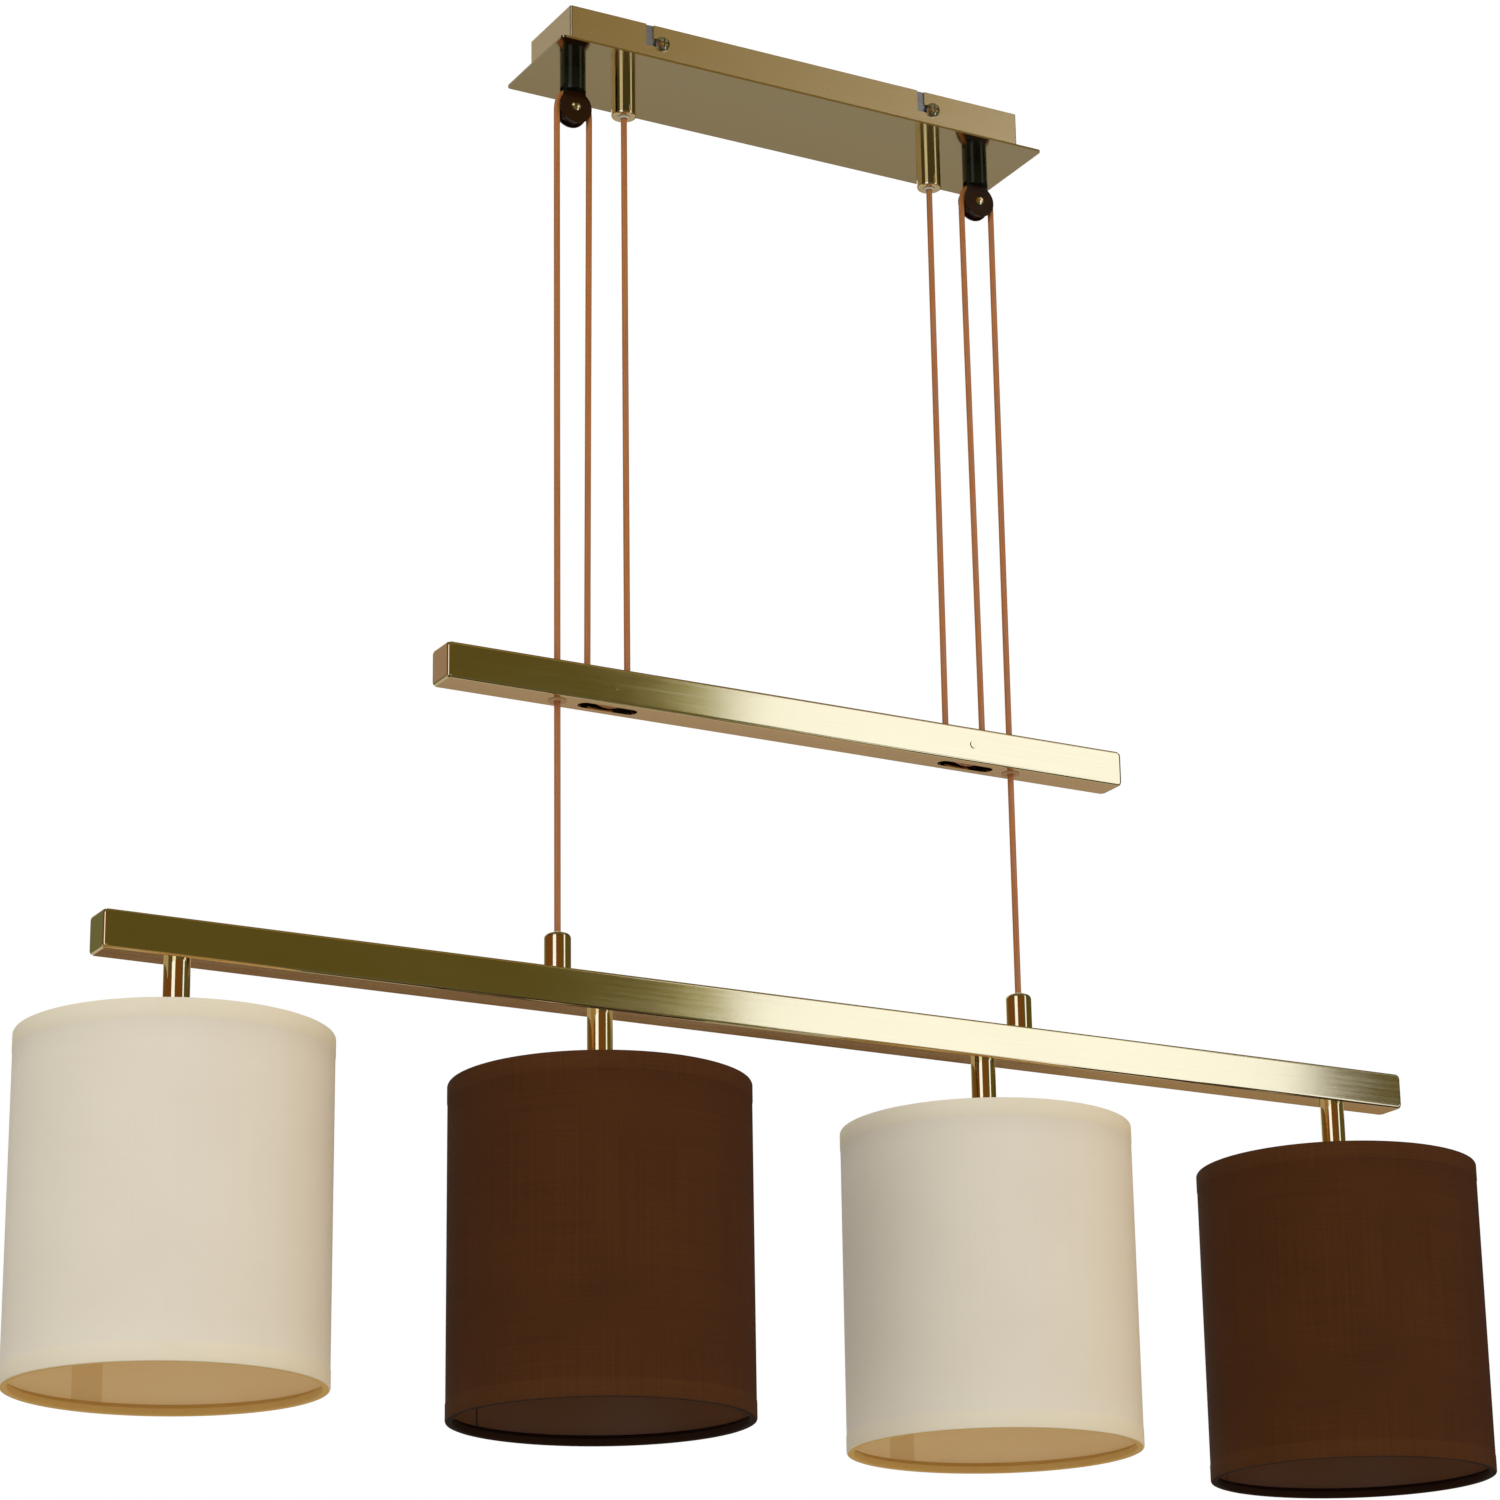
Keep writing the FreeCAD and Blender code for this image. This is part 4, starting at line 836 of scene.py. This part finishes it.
DARK = (0.112, 0.094, 0.024, 1.0)
DIM = (0.05, 0.05, 0.028, 1.0)
UMBER = (0.18, 0.075, 0.015, 1.0)
BRIGHT = (1.24, 1.41, 1.95, 1.0)
LEFT_CARD_TOP_Z = 2.2
REAR_LOW_TOP_Z = 0.85
REAR_MIDDLE_TOP_Z = 1.6
card("flag_left", -145, -66, CARD_FOOT_Z, CARD_SPLIT_Z, UMBER)
card("card_left", -66, -40, CARD_FOOT_Z, LEFT_CARD_TOP_Z, BRIGHT)
card("flag_front", -40, 12, CARD_FOOT_Z, CARD_SPLIT_Z, UMBER)
card("flag_front_right", 12, 27.3, CARD_FOOT_Z, CARD_SPLIT_Z, DARK)
card("card_edge", 27.3, 28.4, CARD_FOOT_Z, CARD_SPLIT_Z, (0.35, 0.34, 0.07, 1.0))
card("card_right", 28.4, 40.4, CARD_FOOT_Z, CARD_SPLIT_Z, BRIGHT)
card("flag_right", 40.4, 150, CARD_FOOT_Z, CARD_SPLIT_Z, DARK)
card("flag_high_left", -145, -66, CARD_SPLIT_Z, CARD_TOP_Z, DIM)
card("flag_high_front", -40, 21, CARD_SPLIT_Z, CARD_TOP_Z, DIM)
card("card_high_left", 21, 29, CARD_SPLIT_Z, CARD_TOP_Z, (0.31, 0.215, 0.070, 1.0))
card("card_high_right", 29, 41, CARD_SPLIT_Z, CARD_TOP_Z, (0.32, 0.22, 0.07, 1.0))
card("card_high_edge", 41, 52, CARD_SPLIT_Z, CARD_TOP_Z, WHITE)
card("flag_high_right", 52, 150, CARD_SPLIT_Z, CARD_TOP_Z, DIM)
card("rear_low", -178, -145, CARD_FOOT_Z, REAR_LOW_TOP_Z, (0.16, 0.165, 0.085, 1.0))
card("rear_middle", -178, -145, REAR_LOW_TOP_Z, REAR_MIDDLE_TOP_Z, (0.35, 0.25, 0.21, 1.0))
card("rear_high", -178, -145, REAR_MIDDLE_TOP_Z, CARD_TOP_Z, (0.49, 0.46, 0.45, 1.0))
flat_card("ceiling_flag", (-CEILING_HALF, -CEILING_HALF), (CEILING_HALF, CEILING_HALF),
          (0.16, 0.14, 0.06, 1.0), height=CARD_TOP_Z)
flat_card("floor_front", (-4.5, -6.0), (4.5, 0.6), (0.12, 0.12, 0.07, 1.0))
card("floor_left", -64, -38, FLOOR_RING_Z, FLOOR_RING_Z, BRIGHT, near=FLOOR_RING_INNER)
card("floor_right", 36, 52, FLOOR_RING_Z, FLOOR_RING_Z, BRIGHT, near=FLOOR_RING_INNER)
flat_card("floor_near", (0.2, 1.5), (3.4, 2.52), (0.46, 0.43, 0.38, 1.0))
flat_card("floor_middle", (0.2, 2.52), (3.4, 2.8), (0.44, 0.33, 0.26, 1.0))
flat_card("floor_far", (0.2, 2.8), (2.1, 4.4), (0.13, 0.065, 0.02, 1.0))
flat_card("floor_far_right", (2.1, 2.8), (3.4, 4.4), (0.30, 0.19, 0.09, 1.0))

# %% [markdown]
# ## Lights
# A large soft light at the front left shapes the cream drums. A weak warm one at the right tints
# their right edges. Neither shows in the brass, because the cards already stand for what it mirrors.

# %% Soft key light from the front left, and a weak warm light from the right
KEY_PLACE = Vector((-2.2, -3.2, 1.2))
WARM_PLACE = Vector((3.2, -1.25, -0.3))


def area_light(name, place, aim, width, watts, color):
    lamp = bpy.data.lights.new(name, "AREA")
    lamp.shape = "SQUARE"
    lamp.size = width
    lamp.energy = watts
    lamp.color = color
    holder = bpy.data.objects.new(name, lamp)
    bpy.context.scene.collection.objects.link(holder)
    holder.matrix_world = (Matrix.Translation(place)
                           @ (aim - place).to_track_quat("-Z", "Y").to_matrix().to_4x4())
    holder.visible_glossy = False


area_light("key", KEY_PLACE, aim=Vector((0, 0, -0.5)), width=2.0, watts=64.0,
           color=(1.0, 0.98, 0.95))
area_light("warm_fill", WARM_PLACE, aim=Vector((0, 0, -0.6)), width=1.5, watts=20.0,
           color=(1.0, 0.55, 0.02))

# %% [markdown]
# ## Finish
# The colours are shown as they are, with no film curve.

# %% Show the colours as they are
bpy.context.scene.view_settings.view_transform = "Standard"
